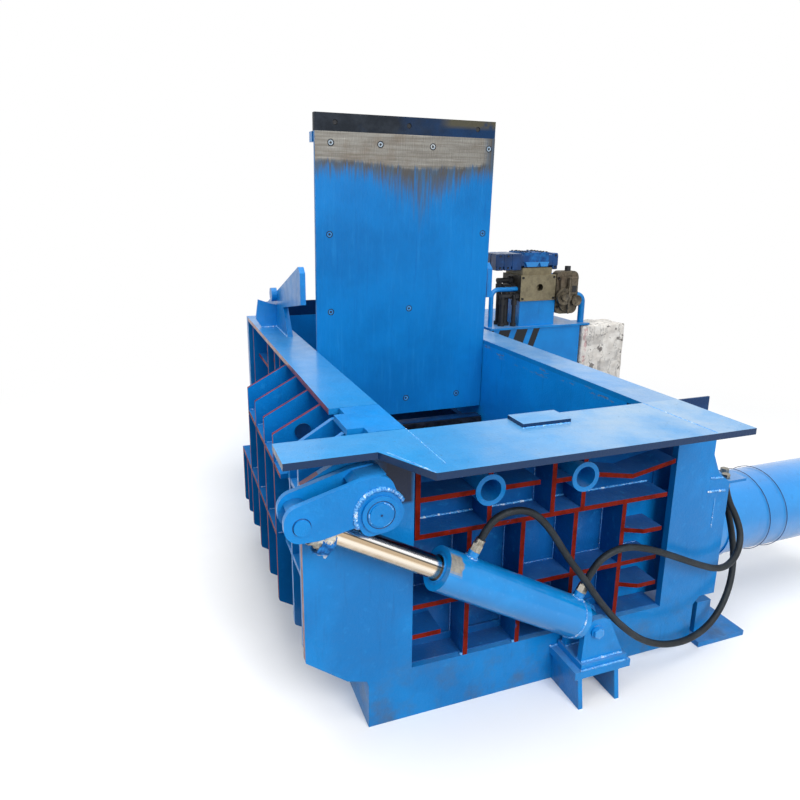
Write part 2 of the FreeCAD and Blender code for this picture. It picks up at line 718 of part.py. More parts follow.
def make_lid_cylinder():
    """The cylinder that swings the lid, between the rear crosshead and the lid's back."""
    rest_pin = V(0, front + lid_pin_place[0], hinge_height + lid_pin_place[1])
    base = V(0, walls_end - lid_base_place[0], rim_height + lid_base_place[1])
    along = (rest_pin - base).normalize()
    reach = (rest_pin - base).Length
    frame_back = front + lid_face + lid_wear + lid_frame_depth
    turn = FreeCAD.Rotation(X_AXIS, -lid_lean)
    pin_at = hinge_point + turn.multVec(rest_pin - hinge_point)
    ears = []
    frame_back += rib
    for sign in (-1, 1):
        x = sign * 56 - 12
        points = ((frame_back, pin_at.z - 95), (pin_at.y + 42, pin_at.z - 42, 42),
                  (pin_at.y + 42, pin_at.z + 42, 42), (frame_back, pin_at.z + 95))
        ear = plate_along(points, x, 24)
        ears.append(lean(ear.cut(round_bar(25, pin_at - X_AXIS * 90, pin_at + X_AXIS * 90))))
    ears.append(round_bar(25, rest_pin - X_AXIS * 76, rest_pin + X_AXIS * 76))
    save("lid_lug", *ears)
    # The rod ends in a saddle that is open away from the rod, where the pivot is opened.
    mouth = V(0, -46, 57).normalize()
    width = 84
    head = round_bar(44, rest_pin - X_AXIS * (width / 2), rest_pin + X_AXIS * (width / 2))
    rod = round_bar(lid_rod_radius, rest_pin - along * 34, base + along * 166)
    piston = round_bar(lid_bore - 0.1, base + along * 166, base + along * 125)
    solid = head.fuse(rod).fuse(piston)
    saddle = round_bar(25.3, rest_pin - X_AXIS * width, rest_pin + X_AXIS * width)
    opening = Part.makeBox(2 * width, 200, 200, V(-width, -100, 0))
    opening.Placement = FreeCAD.Placement(
        rest_pin, FreeCAD.Rotation(Z_AXIS, mouth)).multiply(opening.Placement)
    save("lid_cylinder_rod", solid.cut(saddle).cut(opening).removeSplitter())
    mouth_end = reach - 110
    barrel = pipe(lid_barrel_radius, lid_bore, base + along * 120, base + along * mouth_end)
    gland = pipe(lid_barrel_radius + 6, lid_rod_radius + running, base + along * mouth_end,
                 base + along * (mouth_end + 40))
    tail = round_bar(lid_barrel_radius, base + along * 90, base + along * 120)
    eye = round_bar(48, base - X_AXIS * 35, base + X_AXIS * 35)
    stem = round_bar(34, base, base + along * 92)
    eye_hole = round_bar(28 + running, base - X_AXIS * 60, base + X_AXIS * 60)
    tail = tail.fuse(eye).fuse(stem).cut(eye_hole)
    save("lid_cylinder_barrel", barrel.fuse([tail, gland]).removeSplitter())
    cheeks = [round_bar(28, base - X_AXIS * 75, base + X_AXIS * 75)]
    for sign in (-1, 1):
        x = sign * 52 - 13
        points = ((walls_end, rim_height), (walls_end + crosshead, rim_height),
                  (base.y + 48, base.z + 48, 46), (base.y - 48, base.z + 48, 46),
                  (base.y - 48, rim_height))
        cheek = plate_along(points, x, 26).cut(round_bar(28, base - X_AXIS * 90, base + X_AXIS * 90))
        cheeks.append(cheek)
    save("lid_base_bracket", *cheeks)


def make_lid_stops():
    """The arms that the open lid rests against, each with a cross plate on its flange."""
    post, neck, chin, brow, tail = (rim_height + rise for rise in stop_rises)
    end = walls_end + crosshead - 2
    tip = front + stop_front
    points = (
        (front + stop_post[0], rim_height), (front + stop_post[1], post), (tip, neck),
        (tip, chin), (tip + 33, brow, 14), (end, tail, 20), (end, rim_height),
    )
    pieces = []
    for sign in (-1, 1):
        pieces.append(plate_along(points, sign * (wall_out + 20) - wall / 2, wall))
        edge = wall_out + 20 + wall / 2
        rim = left_rim if sign < 0 else right_rim
        outline_points = (
            (edge, rim_height), (rim - 27, rim_height), (rim + 3, rim_height + 48),
            (rim - 13, rim_height + 150), (rim - 82, rim_height + 125), (edge, rim_height + 118),
        )
        across = tuple((sign * x, z) for x, z in outline_points)
        pieces.append(plate_across(across, front + cross_plate_place, rib))
        boss = V(sign * edge, front + cross_plate_place - 12, rim_height + 176)
        pieces.append(round_bar(36, boss, boss + X_AXIS * (sign * 30)))
    save("lid_side_plates", *pieces)


# ---- Turn-out door ----
def make_door():
    """The door that carries the bale over the left wall: panel, foot, arms, shaft and crank."""
    sx, sz = shaft_place
    span = (door_start, door_end)
    panel = box((-wall_out, -half), span, (floor_top, rim_under))
    upper = (front + door_rim[1], door_end + 1)
    panel = panel.cut(door_sweep(upper[0], upper[1], door_gap))
    panel = panel.cut(box((-wall_out - 1, -half + 1), upper, (sz, rim_under + 1)))
    low = base_height + 2
    radius = math.hypot(foot_reach, sz - floor_top)
    end_low = sx + math.sqrt(max(radius ** 2 - (sz - low) ** 2, 0))
    end_top = sx + foot_reach
    foot = plate_across(((-wall_out, low), (end_low, low), (end_top, floor_top),
                         (-wall_out, floor_top)), door_start, bale_depth)
    save("door_panel", panel, foot)
    places = (door_start + 14, front + door_rim[1] - 40)
    outer = rib_outer - door_rib_inset
    points = (
        (-wall_out, low + 10), (-wall_out, rim_under - 2), (sx - 20, rim_under - 2, 20),
        (-outer, rib_shoulder, 6), (-outer, low + 45, 10), (-outer + rib_heel, low + 10),
    )
    pieces = []
    for y in places:
        arm = plate_across(points, y, 20)
        pieces.append(arm.cut(round_bar(shaft_radius, shaft_point(y - 1), shaft_point(y + 21))))
    for level, end in zip(shelf_heights, (front + door_rim[1], door_end)):
        pieces.append(shelf(-1, outer - 1, (door_start, places[0]), level))
        pieces.append(shelf(-1, outer - 1, (places[0] + 20, places[1]), level))
        pieces.append(shelf(-1, outer - 1, (places[1] + 20, end), level))
    save("door_arms", *pieces)
    low_y, high_y = (front + y for y in door_rim)
    top = plate_flat((
        (-half, low_y), (-half, high_y), (-left_rim + 34, high_y), (-left_rim + 34, high_y - 62),
        (-left_rim, high_y - 62), (-left_rim, low_y + 44), (-left_rim + 52, low_y + 44),
        (-left_rim + 52, low_y),
    ), rim_under, rim_thickness)
    save("door_top_plate", top)
    save("door_shaft", round_bar(shaft_radius, shaft_point(front - shaft_front),
                                 shaft_point(front + shaft_rear)))


def make_crank():
    """The forked crank arm on the door's shaft, and its pin."""
    sx, sz = shaft_place
    px, pz = sx - crank_reach, sz - crank_drop
    end = crank_end_radius
    points = (
        (px - end, pz - end, end), (px - end, pz + end, end), (sx - 52, sz + 100, 60),
        (sx + 26, sz + 108, 40), (sx + 70, sz - 2, 20), (sx + 52, sz - 52, 50),
        (sx - 40, sz - 64, 30), (sx - 60, sz - 28, 16), (px + 46, pz - 46, 60),
    )
    faces = (front - crank_front, front - crank_front + crank_plate + crank_slot)
    plates = [plate_across(points, y, crank_plate) for y in faces]
    hub = round_bar(hub_radius, shaft_point(front - crank_front - 8), shaft_point(front - 12))
    web_points = (
        (sx - 74, sz + 76), (sx - 50, sz + 94), (sx + 22, sz + 104),
        (sx + 22, sz + 86), (sx - 44, sz + 76), (sx - 64, sz + 62),
    )
    web = plate_across(web_points, faces[0] + crank_plate - 1, crank_slot + 2)
    crank = plates[0].fuse([plates[1], hub, web])
    crank = crank.cut(round_bar(shaft_radius, shaft_point(front - 200), shaft_point(front)))
    pin_start = V(px, front - crank_front - 7, pz)
    pin_end = V(px, faces[1] + crank_plate + 6, pz)
    crank = crank.cut(round_bar(crank_pin_radius, pin_start - Y_AXIS * 20, pin_end + Y_AXIS * 20))
    save("crank_arm", crank.removeSplitter())
    save("crank_pin", round_bar(crank_pin_radius, pin_start, pin_end))
    bearings = []
    for start in (front - 8, front + 426):
        ring = pipe(hub_radius, shaft_radius + running, shaft_point(start), shaft_point(start + 36))
        bearings.append(ring)
    save("shaft_bearings", *bearings)


def make_turn_cylinder():
    """The front cylinder that pulls the crank, on its bracket low on the front plate."""
    axis_y = front - crank_front + crank_plate + crank_slot / 2
    pin = V(shaft_place[0] - crank_reach, axis_y, shaft_place[1] - crank_drop)
    base = V(turn_base[0], axis_y, turn_base[1])
    along = (base - pin).normalize()
    up = V(-along.z, 0, along.x)
    reach = (base - pin).Length
    turn_barrel_end = reach - turn_tail
    port_stations = (turn_barrel_start + port_insets[0], turn_barrel_end - port_insets[1])
    at = lambda station, height=0: pin + along * station + up * height
    barrel = pipe(turn_barrel_radius, turn_bore, at(turn_barrel_start), at(turn_barrel_end - 25))
    for station in port_stations:
        barrel = barrel.cut(round_bar(7, at(station, turn_bore - 5), at(station, 80)))
    for station in port_stations:
        foot = pipe(17, 7, at(station, turn_bore + 4), at(station, port_height))
        barrel = barrel.fuse(foot)
    lug = round_bar(turn_barrel_radius, at(turn_barrel_end - 25), at(turn_barrel_end))
    lug_width = 60
    eye = round_bar(44, base - Y_AXIS * (lug_width / 2), base + Y_AXIS * (lug_width / 2))
    stem = Part.makeBox(reach - turn_barrel_end + 2, lug_width, 76, V(0, -lug_width / 2, -38))
    stem.Placement = FreeCAD.Placement(at(turn_barrel_end - 1), FreeCAD.Rotation(X_AXIS, along))
    hole = round_bar(crank_pin_radius + running, base - Y_AXIS * 60, base + Y_AXIS * 60)
    save("turn_barrel", barrel.fuse(lug.fuse([eye, stem]).cut(hole)).removeSplitter())
    inner = turn_rod_radius + running
    gland = pipe(turn_bore, inner, at(turn_barrel_start), at(turn_barrel_start + 42))
    wiper = pipe(42, inner, at(turn_barrel_start - 5), at(turn_barrel_start))
    save("turn_gland", gland, wiper)
    # The rod's eye is a saddle open towards the lower left, where the pivot is opened.
    mouth = V(-52, 0, -62).normalize()
    width = crank_slot - 4
    head = round_bar(40, pin - Y_AXIS * (width / 2), pin + Y_AXIS * (width / 2))
    rod = round_bar(turn_rod_radius, at(30), at(turn_barrel_start + 150))
    piston = round_bar(turn_bore - 0.1, at(turn_barrel_start + 110), at(turn_barrel_start + 150))
    saddle = round_bar(crank_pin_radius + 0.3, pin - Y_AXIS * width, pin + Y_AXIS * width)
    opening = Part.makeBox(200, 2 * width, 200, V(-100, -width, 0))
    opening.Placement = FreeCAD.Placement(pin, FreeCAD.Rotation(Z_AXIS, mouth)).multiply(
        opening.Placement)
    rod = head.fuse([rod, piston]).cut(saddle).cut(opening)
    save("turn_rod", rod.removeSplitter())
    fittings = []
    for station in port_stations:
        nut = hex_bar(30, at(station, port_height), at(station, port_height + 24))
        sleeve = round_bar(15, at(station, port_height + 24), at(station, port_height + 40))
        fittings.append(nut.fuse(sleeve))
    save("turn_hose_fittings", *fittings)
    make_turn_bracket(base)


def make_turn_bracket(base):
    """The clevis bracket: base plate, pad, two ears, two gussets and the base pin."""
    left, right = 91.0, 306.0
    top = 130.0
    depth = 145.0
    shelf = box((left, right), (front - depth, front), (top - 26, top))
    pad = box((left + 26, right - 12), (front - depth + 6, front - 4), (top, top + 20))
    pieces = [shelf, pad]
    ear_low = top + 20
    points = ((base.x - 50, ear_low), (base.x + 112, ear_low), (base.x + 43, base.z + 43, 42),
              (base.x - 43, base.z + 43, 42))
    for y in (base.y - 32 - 22, base.y + 32):
        ear = plate_across(points, y, 22)
        pieces.append(ear.cut(round_bar(crank_pin_radius, base - Y_AXIS * 80, base + Y_AXIS * 80)))
    for x in (left + 14, right - 59):
        shape = ((front, 0), (front - depth - 12, 0), (front - depth + 4, top - 26), (front, top - 26))
        pieces.append(plate_along(shape, x, rib))
    pieces.append(round_bar(crank_pin_radius, base - Y_AXIS * 60, base + Y_AXIS * 58))
    save("turn_bracket", *pieces)


# ---- Hoses ----
hose_upper = (
    (-230.7, -72.0, 627.2), (-205.4, -72.0, 672.6), (-163.0, -74.0, 698.0),
    (-111.4, -79.0, 705.0), (-60.7, -86.0, 688.5), (-9.7, -96.0, 633.4),
    (50.0, -106.0, 535.0), (117.2, -113.0, 446.9), (193.4, -115.0, 339.6),
    (276.7, -112.0, 243.6), (390.7, -103.0, 145.5), (519.0, -90.0, 88.6),
    (650.7, -74.0, 76.0), (756.6, -58.0, 114.8), (833.1, -36.0, 203.0),
    (876.0, -4.0, 305.0), (890.0, 34.0, 400.0), (884.0, 66.0, 490.0),
    (874.0, 84.0, 575.0),
)
hose_lower = (
    (160.2, -72.0, 408.4), (187.6, -72.0, 457.3), (233.0, -72.0, 490.0),
    (301.8, -72.0, 503.0), (394.0, -71.0, 480.0), (514.1, -68.0, 426.0),
    (640.0, -63.0, 365.0), (738.0, -58.0, 325.0), (803.0, -50.0, 328.0),
    (853.0, -36.0, 366.0), (876.0, -15.0, 424.0), (868.0, 12.0, 485.0),
    (848.0, 34.0, 535.0), (836.0, 42.0, 588.0),
)


def hose(name, route):
    """A hose as a tube along straight runs joined by tangent arcs."""
    points = [V(x, front + y, z) for x, y, z in route]
    edges = []
    radii = []
    start = points[0]
    for before, corner, after in zip(points, points[1:], points[2:]):
        back = (before - corner).normalize()
        ahead = (after - corner).normalize()
        half_turn = (math.pi - back.getAngle(ahead)) / 2
        shorter = min((before - corner).Length, (after - corner).Length)
        reach = 0.45 * shorter
        radius = reach / math.tan(half_turn)
        radii.append(round(radius))
        inward = (back + ahead).normalize()
        middle = corner + inward * (radius / math.cos(half_turn) - radius)
        edges.append(Part.LineSegment(start, corner + back * reach).toShape())
        edges.append(Part.Arc(corner + back * reach, middle, corner + ahead * reach).toShape())
        start = corner + ahead * reach
    edges.append(Part.LineSegment(start, points[-1]).toShape())
    path = Part.Wire(edges)
    section = Part.Wire(Part.makeCircle(hose_diameter / 2, points[0], points[1] - points[0]))
    tube = path.makePipeShell([section], True, False)
    expected = math.pi * (hose_diameter / 2) ** 2 * path.Length
    print(name, "length", round(path.Length), "radii", radii,
          "volume share", round(tube.Volume / expected, 3))
    save(name, tube)
    return points[-1], (points[-1] - points[-2]).normalize()


def make_hoses():
    """Both hoses and the bulkhead fittings that they end in."""
    ends = [hose("hose_upper", hose_upper), hose("hose_lower", hose_lower)]
    fittings = []
    for point, direction in ends:
        top = point + direction * 20
        body = round_bar(14, point, top)
        nut = hex_bar(30, V(top.x, top.y, top.z - 4), V(top.x, top.y, side_flange_top - 10))
        fittings.append(body.fuse(nut))
        seat = V(top.x, top.y, side_flange_top)
        fittings.append(hex_bar(26, seat, seat + Z_AXIS * 16))
    save("hose_end_fittings", *fittings)


# ---- Feet, blade and small fixed pieces ----
def make_feet(rear_stand):
    """The feet under both ram cylinders, and the fixed front blade."""
    foot_x = [base_right + inset for inset in foot_inset]
    feet = [box(foot_x, (front - 45, walls_start + 60), (0, foot_plate))]
    post_x = [base_right + inset for inset in foot_post]
    for start, span in ((front, foot_post_front), (walls_start, foot_post_rear)):
        post_y = [start + y for y in span]
        feet.append(box(post_x, post_y, (foot_plate, base_height - 22)))
    save("support_feet", *feet, rear_stand)
    low, high = shear_blade
    face = chamber_front + 2
    blade = box((-half + 2, half - 2), (face - shear_thickness, face), (low, high))
    for x in (-320, -107, 107, 320):
        screw = Part.makeCone(14, 9, shear_thickness, V(x, face, (low + high) / 2), V(0, -1, 0))
        blade = blade.cut(screw)
    save("front_shear_blade", blade)


# ---- Power unit ----
def make_power_unit():
    """The oil tank with its cover, plinth, manifold and valves."""
    x0, y0 = tank_corner[0], front + tank_corner[1]
    width, depth, height = tank_size
    top = tank_leg + height
    skin = 6
    outer_x, outer_y = (x0, x0 + width), (y0, y0 + depth)
    side_z = (tank_leg + skin, top)
    tank = [box(outer_x, outer_y, (tank_leg, tank_leg + skin))]
    for y in (y0, y0 + depth - skin):
        tank.append(box(outer_x, (y, y + skin), side_z))
    for x in (x0, x0 + width - skin):
        tank.append(box((x, x + skin), (y0 + skin, y0 + depth - skin), side_z))
    for x in (x0 + 20, x0 + width - 80):
        tank.append(box((x, x + 60), (y0 + 20, y0 + depth - 20), (0, tank_leg)))
    for z in (cooler_low + 50, cooler_low + 330):
        tank.append(box((x0 + width, x0 + width + 16), (y0 + 60, y0 + 140), (z, z + 30)))
    save("oil_tank", *tank)
    cover_top = top + tank_cover
    left = x0 + plinth[0]
    right = left + plinth[1]
    depth_y = (y0 + 20, y0 + 240)
    block_low = cover_top + plinth[2]
    axis = lambda y: V(x0 + pump_place[0], y0 + y, cover_top + pump_place[1])
    cover = [box((x0 - 12, x0 + width + 12), (y0 - 12, y0 + depth + 12), (top, cover_top))]
    cover.append(box((left, right), depth_y, (cover_top, block_low)))
    cover.append(box((x0 + width + 12, x0 + width + 64), (y0 - 12, y0 + 110), (top, cover_top)))
    x = axis(0).x
    saddle = box((x - 80, x + 80), (y0 + 270, y0 + 500), (cover_top, cover_top + pump_place[1] - 55))
    cover.append(saddle.cut(round_bar(motor_radius, axis(259), axis(501))))
    save("tank_cover", *cover)
    block_top = block_low + block_height
    block = box((left - 3, right - 6), (y0 + 14, y0 + 234), (block_low, block_top))
    port = V(left + 131, y0, block_low + 80)
    save("manifold_block", block.cut(round_bar(22, port, port + Y_AXIS * 60)))
    low = block_top + sandwich_height
    bodies = [box((left + 9, right - 35), (y0 + 20, y0 + 220), (block_top, low))]
    coils = []
    for index in range(3):
        y = y0 + 24 + index * valve_row
        bodies.append(box((left + 20, right - 60), (y, y + valve_row - 8), (low, low + valve_height)))
        middle = V(0, y + valve_row / 2 - 4, low + valve_height / 2 - 4)
        for x in ((left + 20 - coil_reach, left + 20), (right - 60, right + 6)):
            coil = plate(((-29, -34, 8), (29, -34, 8), (29, 34, 8), (-29, 34, 8)),
                         lambda a, b: V(x[0], middle.y + a, middle.z + b), X_AXIS * (x[1] - x[0]))
            coils.append(coil)
    save("valve_bodies", *bodies)
    save("valve_solenoids", *coils)
    make_pump(axis)
    side = axis(42) + X_AXIS * (pump_size[0] / 2)
    pump_pipe = bent_pipe((side - Z_AXIS * 21, side + V(52, 0, -21),
                           V(side.x + 52, side.y, cover_top)), oil_pipe_radius)
    corner = V(left - 175, y0 + 60, block_low + 70)
    block_pipe = bent_pipe((V(corner.x, corner.y, cover_top), corner,
                            V(left - 3, corner.y, corner.z)), 14)
    save("oil_pipe", pump_pipe, block_pipe)


def make_pump(axis):
    """The pump facing the front, with its bell housing and the motor behind it."""
    width, height, depth = pump_size
    half_w, half_h = width / 2, height / 2
    at = lambda y: (lambda a, b: axis(y) + V(a, 0, b))
    body = plate(((-half_w, -half_h, 40), (half_w, -half_h, 40), (half_w, half_h, 40),
                  (-half_w, half_h, 40)), at(20), Y_AXIS * depth)
    cover = plate(((-half_w + 18, -half_h + 20, 46), (half_w - 18, -half_h + 20, 46),
                   (half_w - 18, half_h - 20, 46), (-half_w + 18, half_h - 20, 46)),
                  at(0), Y_AXIS * 20)
    boss = round_bar(34, axis(-14), axis(0))
    save("pump", body.fuse([cover, boss]).removeSplitter())
    rear = 20 + depth
    neck = Part.makeCone(half_w - 12, half_w, 163, axis(rear), Y_AXIS)
    flange = round_bar(motor_radius, axis(rear + 163), axis(rear + 181))
    save("bell_housing", neck.fuse(flange).removeSplitter())
    start = rear + 181
    motor = round_bar(motor_radius, axis(start), axis(start + motor_length))
    for index in range(-5, 6):
        fin = box((-2.5, 2.5), (start + 20, start + motor_length - 30),
                  (motor_radius - 4, motor_radius + 7))
        fin.rotate(V(0, 0, 0), Y_AXIS, 20 * index)
        fin.translate(axis(0))
        motor = motor.fuse(fin)
    fan = round_bar(motor_radius + 6, axis(start + motor_length), axis(start + motor_length + 55))
    save("motor", motor.fuse(fan).removeSplitter())


def bent_pipe(points, radius):
    """A pipe with one swept elbow."""
    first, corner, last = points
    bend = 45
    back = (first - corner).normalize()
    ahead = (last - corner).normalize()
    middle = corner + (back + ahead).normalize() * (bend * (math.sqrt(2) - 1))
    path = Part.Wire([Part.LineSegment(first, corner + back * bend).toShape(),
                      Part.Arc(corner + back * bend, middle, corner + ahead * bend).toShape(),
                      Part.LineSegment(corner + ahead * bend, last).toShape()])
    section = Part.Wire(Part.makeCircle(radius, first, corner - first))
    return path.makePipeShell([section], True, False)


def make_cooler():
    """The oil cooler beside the tank, in its paper wrapping."""
    x = tank_corner[0] + tank_size[0] + 16
    y = front + tank_corner[1]
    width, depth, height = cooler_size
    outline_points = ((x, y, 14), (x + width, y - 14, 14), (x + width + 4, y + depth, 14),
                      (x, y + depth + 10, 14))
    save("wrapped_cooler", plate_flat(outline_points, cooler_low, height))


os.makedirs("parts", exist_ok=True)
make_base()
make_front_frame()
make_front_grid()
make_rim()
make_wall_plates()
make_left_ribs()
make_right_ribs()
make_side_ram()
rear_stand = make_main_ram()
make_lid()
make_lid_cylinder()
make_lid_stops()
make_door()
make_crank()
make_turn_cylinder()
make_hoses()
make_feet(rear_stand)
make_power_unit()
make_cooler()
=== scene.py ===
import logging
import math
from contextlib import contextmanager
from dataclasses import dataclass, field
from enum import Enum
from functools import cached_property
from typing import Iterator, Sequence

import bpy
from mathutils import Matrix, Vector


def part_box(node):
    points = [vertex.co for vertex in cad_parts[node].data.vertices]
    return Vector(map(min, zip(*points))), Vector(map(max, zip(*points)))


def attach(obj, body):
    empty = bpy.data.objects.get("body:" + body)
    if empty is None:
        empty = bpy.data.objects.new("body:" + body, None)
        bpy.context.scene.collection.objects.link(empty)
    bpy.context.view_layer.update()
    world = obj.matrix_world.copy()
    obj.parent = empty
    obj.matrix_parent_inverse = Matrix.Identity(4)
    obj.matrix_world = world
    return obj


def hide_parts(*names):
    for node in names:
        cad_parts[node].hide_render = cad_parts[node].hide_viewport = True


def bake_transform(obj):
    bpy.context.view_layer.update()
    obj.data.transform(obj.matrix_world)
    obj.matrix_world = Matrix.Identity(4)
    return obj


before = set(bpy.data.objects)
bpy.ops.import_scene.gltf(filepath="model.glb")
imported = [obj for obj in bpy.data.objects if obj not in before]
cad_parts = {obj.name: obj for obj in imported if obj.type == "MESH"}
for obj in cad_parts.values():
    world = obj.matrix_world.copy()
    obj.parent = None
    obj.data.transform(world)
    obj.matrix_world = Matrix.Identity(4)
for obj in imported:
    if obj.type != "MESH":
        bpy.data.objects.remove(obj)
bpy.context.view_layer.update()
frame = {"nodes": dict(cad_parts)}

LOG = logging.getLogger("baler")
Point = tuple[float, float, float]
Place = Sequence[float]
Socket = bpy.types.NodeSocket
Thing = bpy.types.Object

# Places that the pieces share with the model, in metres.
FRONT = -1.2
RIM_TOP = 0.947
SHAFT = Vector((-0.565, FRONT, 0.789))
CRANK_FACE = FRONT - 0.128
CRANK_PIN = Vector((-0.775, FRONT - 0.072, 0.785))
TURN_BASE = Vector((0.174, FRONT - 0.072, 0.254))
TURN_AXIS = (TURN_BASE - CRANK_PIN).normalized()
SIDE_AXIS = (FRONT + 0.266, 0.345)
SIDE_RADIUS = 0.168
HOSE_DIAMETER = 0.023

# Directions of heads, rings and pipes.
OUT: Point = (0.0, -1.0, 0.0)
UP: Point = (0.0, 0.0, 1.0)
RIGHT: Point = (1.0, 0.0, 0.0)
BACK: Point = (0.0, 1.0, 0.0)

# A limit in metres that lies past the whole machine.
NOWHERE = 9.0

# A weld bead's drops, and how far apart they lie as a share of the half width.
BEAD = {"segments": 6, "ring_count": 4}
BEAD_PITCH = 0.9
RING_PITCH = 0.95
SOFT_EDGE_ANGLE = math.radians(35)


class Body(str, Enum):
    """The moving groups of the machine."""

    FRAME = "frame"
    LID = "lid"
    TURN_DOOR = "turn_door"
    TURN_BARREL = "turn_barrel"
    TURN_ROD = "turn_rod"


class Side(Enum):
    """The faces of a plate that were left in primer, as an axis and a direction."""

    NONE = (0, 0.0)
    FRONT = (1, -1.0)
    LEFT = (0, -1.0)
    RIGHT = (0, 1.0)


def linear(code: str) -> tuple[float, float, float, float]:
    """Turn an sRGB hex colour into a linear one.

    Args:
        code: six hex digits with a leading hash.

    Returns:
        Red, green, blue and alpha.
    """
    parts = [int(code[i:i + 2], 16) / 255 for i in (1, 3, 5)]
    values = [c / 12.92 if c <= 0.04045 else ((c + 0.055) / 1.055) ** 2.4 for c in parts]
    return (values[0], values[1], values[2], 1.0)


class Nodes:
    """One node tree, of a material or of the world."""

    def __init__(self, tree: bpy.types.NodeTree) -> None:
        """Take up a tree with its first nodes."""
        self.tree = tree

    def add(self, kind: str, *inputs: object, out: int = 0, sockets: dict | None = None,
            **settings: object) -> Socket:
        """Add one node with its settings and links.

        Args:
            kind: the node's type, without the part that all share, and its operation if any.
            inputs: sockets, values or hex colours for the first inputs, in order.
            out: the number of the output to hand back.
            sockets: the same for inputs by number or name.
            settings: plain properties of the node.

        Returns:
            The output socket.
        """
        kind, _, operation = kind.partition(" ")
        node = self.tree.nodes.new("ShaderNode" + kind)
        if operation:
            node.operation = operation
        for name, value in settings.items():
            setattr(node, name, value)
        for key, value in {**dict(enumerate(inputs)), **(sockets or {})}.items():
            self.give(node.inputs[key], value)
        return node.outputs[out]

    def give(self, socket: Socket, value: object) -> None:
        """Link or set one input; a hex text stands for a colour."""
        if isinstance(value, Socket):
            self.tree.links.new(value, socket)
        else:
            socket.default_value = linear(value) if isinstance(value, str) else value

    def seen(self) -> Socket:
        """1 for rays of sight, also by way of gloss or glass, and 0 for rays of light."""
        rays = self.add("LightPath").node.outputs
        mask = rays["Is Camera Ray"]
        for ray in ("Is Glossy Ray", "Is Transmission Ray"):
            mask = self.add("Math MAXIMUM", mask, rays[ray])
        return mask


class Sheet(Nodes):
    """One material's node sheet."""

    def __init__(self, name: str) -> None:
        """Start an empty material with its shader and its place on the object."""
        self.material = bpy.data.materials.new(name)
        self.material.use_nodes = True
        super().__init__(self.material.node_tree)
        self.shader = self.tree.nodes["Principled BSDF"]
        self.place = self.add("TexCoord", out=3)
        self.colour: object = "#FFFFFF"

    def patches(self, size: float, low: float, high: float, detail: float = 5.0,
                stretch: Point = (1.0, 1.0, 1.0)) -> Socket:
        """A mask of soft patches.

        Args:
            size: how far apart the patches lie, in millimetres.
            low: noise value where the mask starts.
            high: noise value where it is full.
            detail: octaves of finer detail.
            stretch: how many times shorter the patches are along each axis.

        Returns:
            The mask, 0 to 1.
        """
        scale = tuple(1000.0 / size * share for share in stretch)
        place = self.add("VectorMath MULTIPLY", self.place, scale)
        noise = self.add("TexNoise", sockets={"Vector": place, "Scale": 1.0, "Detail": detail,
                                              "Roughness": 0.62})
        return self.add("MapRange", noise, low, high, interpolation_type="SMOOTHSTEP")

    def layer(self, under: object, over: object, mask: object, *others: object) -> Socket:
        """Lay one colour over another.

        Args:
            under: the colour below.
            over: the colour that goes on top.
            mask: where it goes, 0 to 1.
            others: more masks and strengths, which all thin it out.

        Returns:
            The mixed colour.
        """
        for other in others:
            mask = self.add("Math MULTIPLY", mask, other, use_clamp=True)
        return self.add("Mix", sockets={0: mask, 6: under, 7: over}, out=2, data_type="RGBA")

    def coat(self, over: object, *masks: object) -> None:
        """Lay a colour over what the sheet has so far."""
        self.colour = self.layer(self.colour, over, *masks)

    @cached_property
    def spot(self) -> Sequence[Socket]:
        """The place in the object's frame, as X, Y and Z."""
        return self.add("SeparateXYZ", self.place).node.outputs

    @cached_property
    def facing(self) -> Sequence[Socket]:
        """The surface's own direction in the object's frame, as X, Y and Z."""
        world = self.add("NewGeometry", out=3)
        own = self.add("VectorTransform", world, vector_type="NORMAL", convert_from="WORLD",
                       convert_to="OBJECT")
        return self.add("SeparateXYZ", own).node.outputs

    def finish(self, rough: object, relief: object, depth: float, **sockets: object) -> None:
        """Close the material.

        Args:
            rough: roughness.
            relief: height value for the surface's relief.
            depth: depth of the relief in metres.
            sockets: other inputs of the shader; an underscore stands for a space.
        """
        bump = self.add("Bump", sockets={"Height": relief, "Strength": 1.0, "Distance": depth})
        self.give(self.shader.inputs["Normal"], bump)
        self.give(self.shader.inputs["Base Color"], self.colour)
        self.give(self.shader.inputs["Roughness"], rough)
        for key, value in sockets.items():
            self.give(self.shader.inputs[key.replace("_", " ")], value)


@dataclass(frozen=True)
class Finish:
    """One surface finish, which paints itself on a sheet of its own."""

    name: str

    def build(self) -> bpy.types.Material:
        """Return the finished material."""
        sheet = Sheet(self.name)
        self.paint(sheet)
        return sheet.material


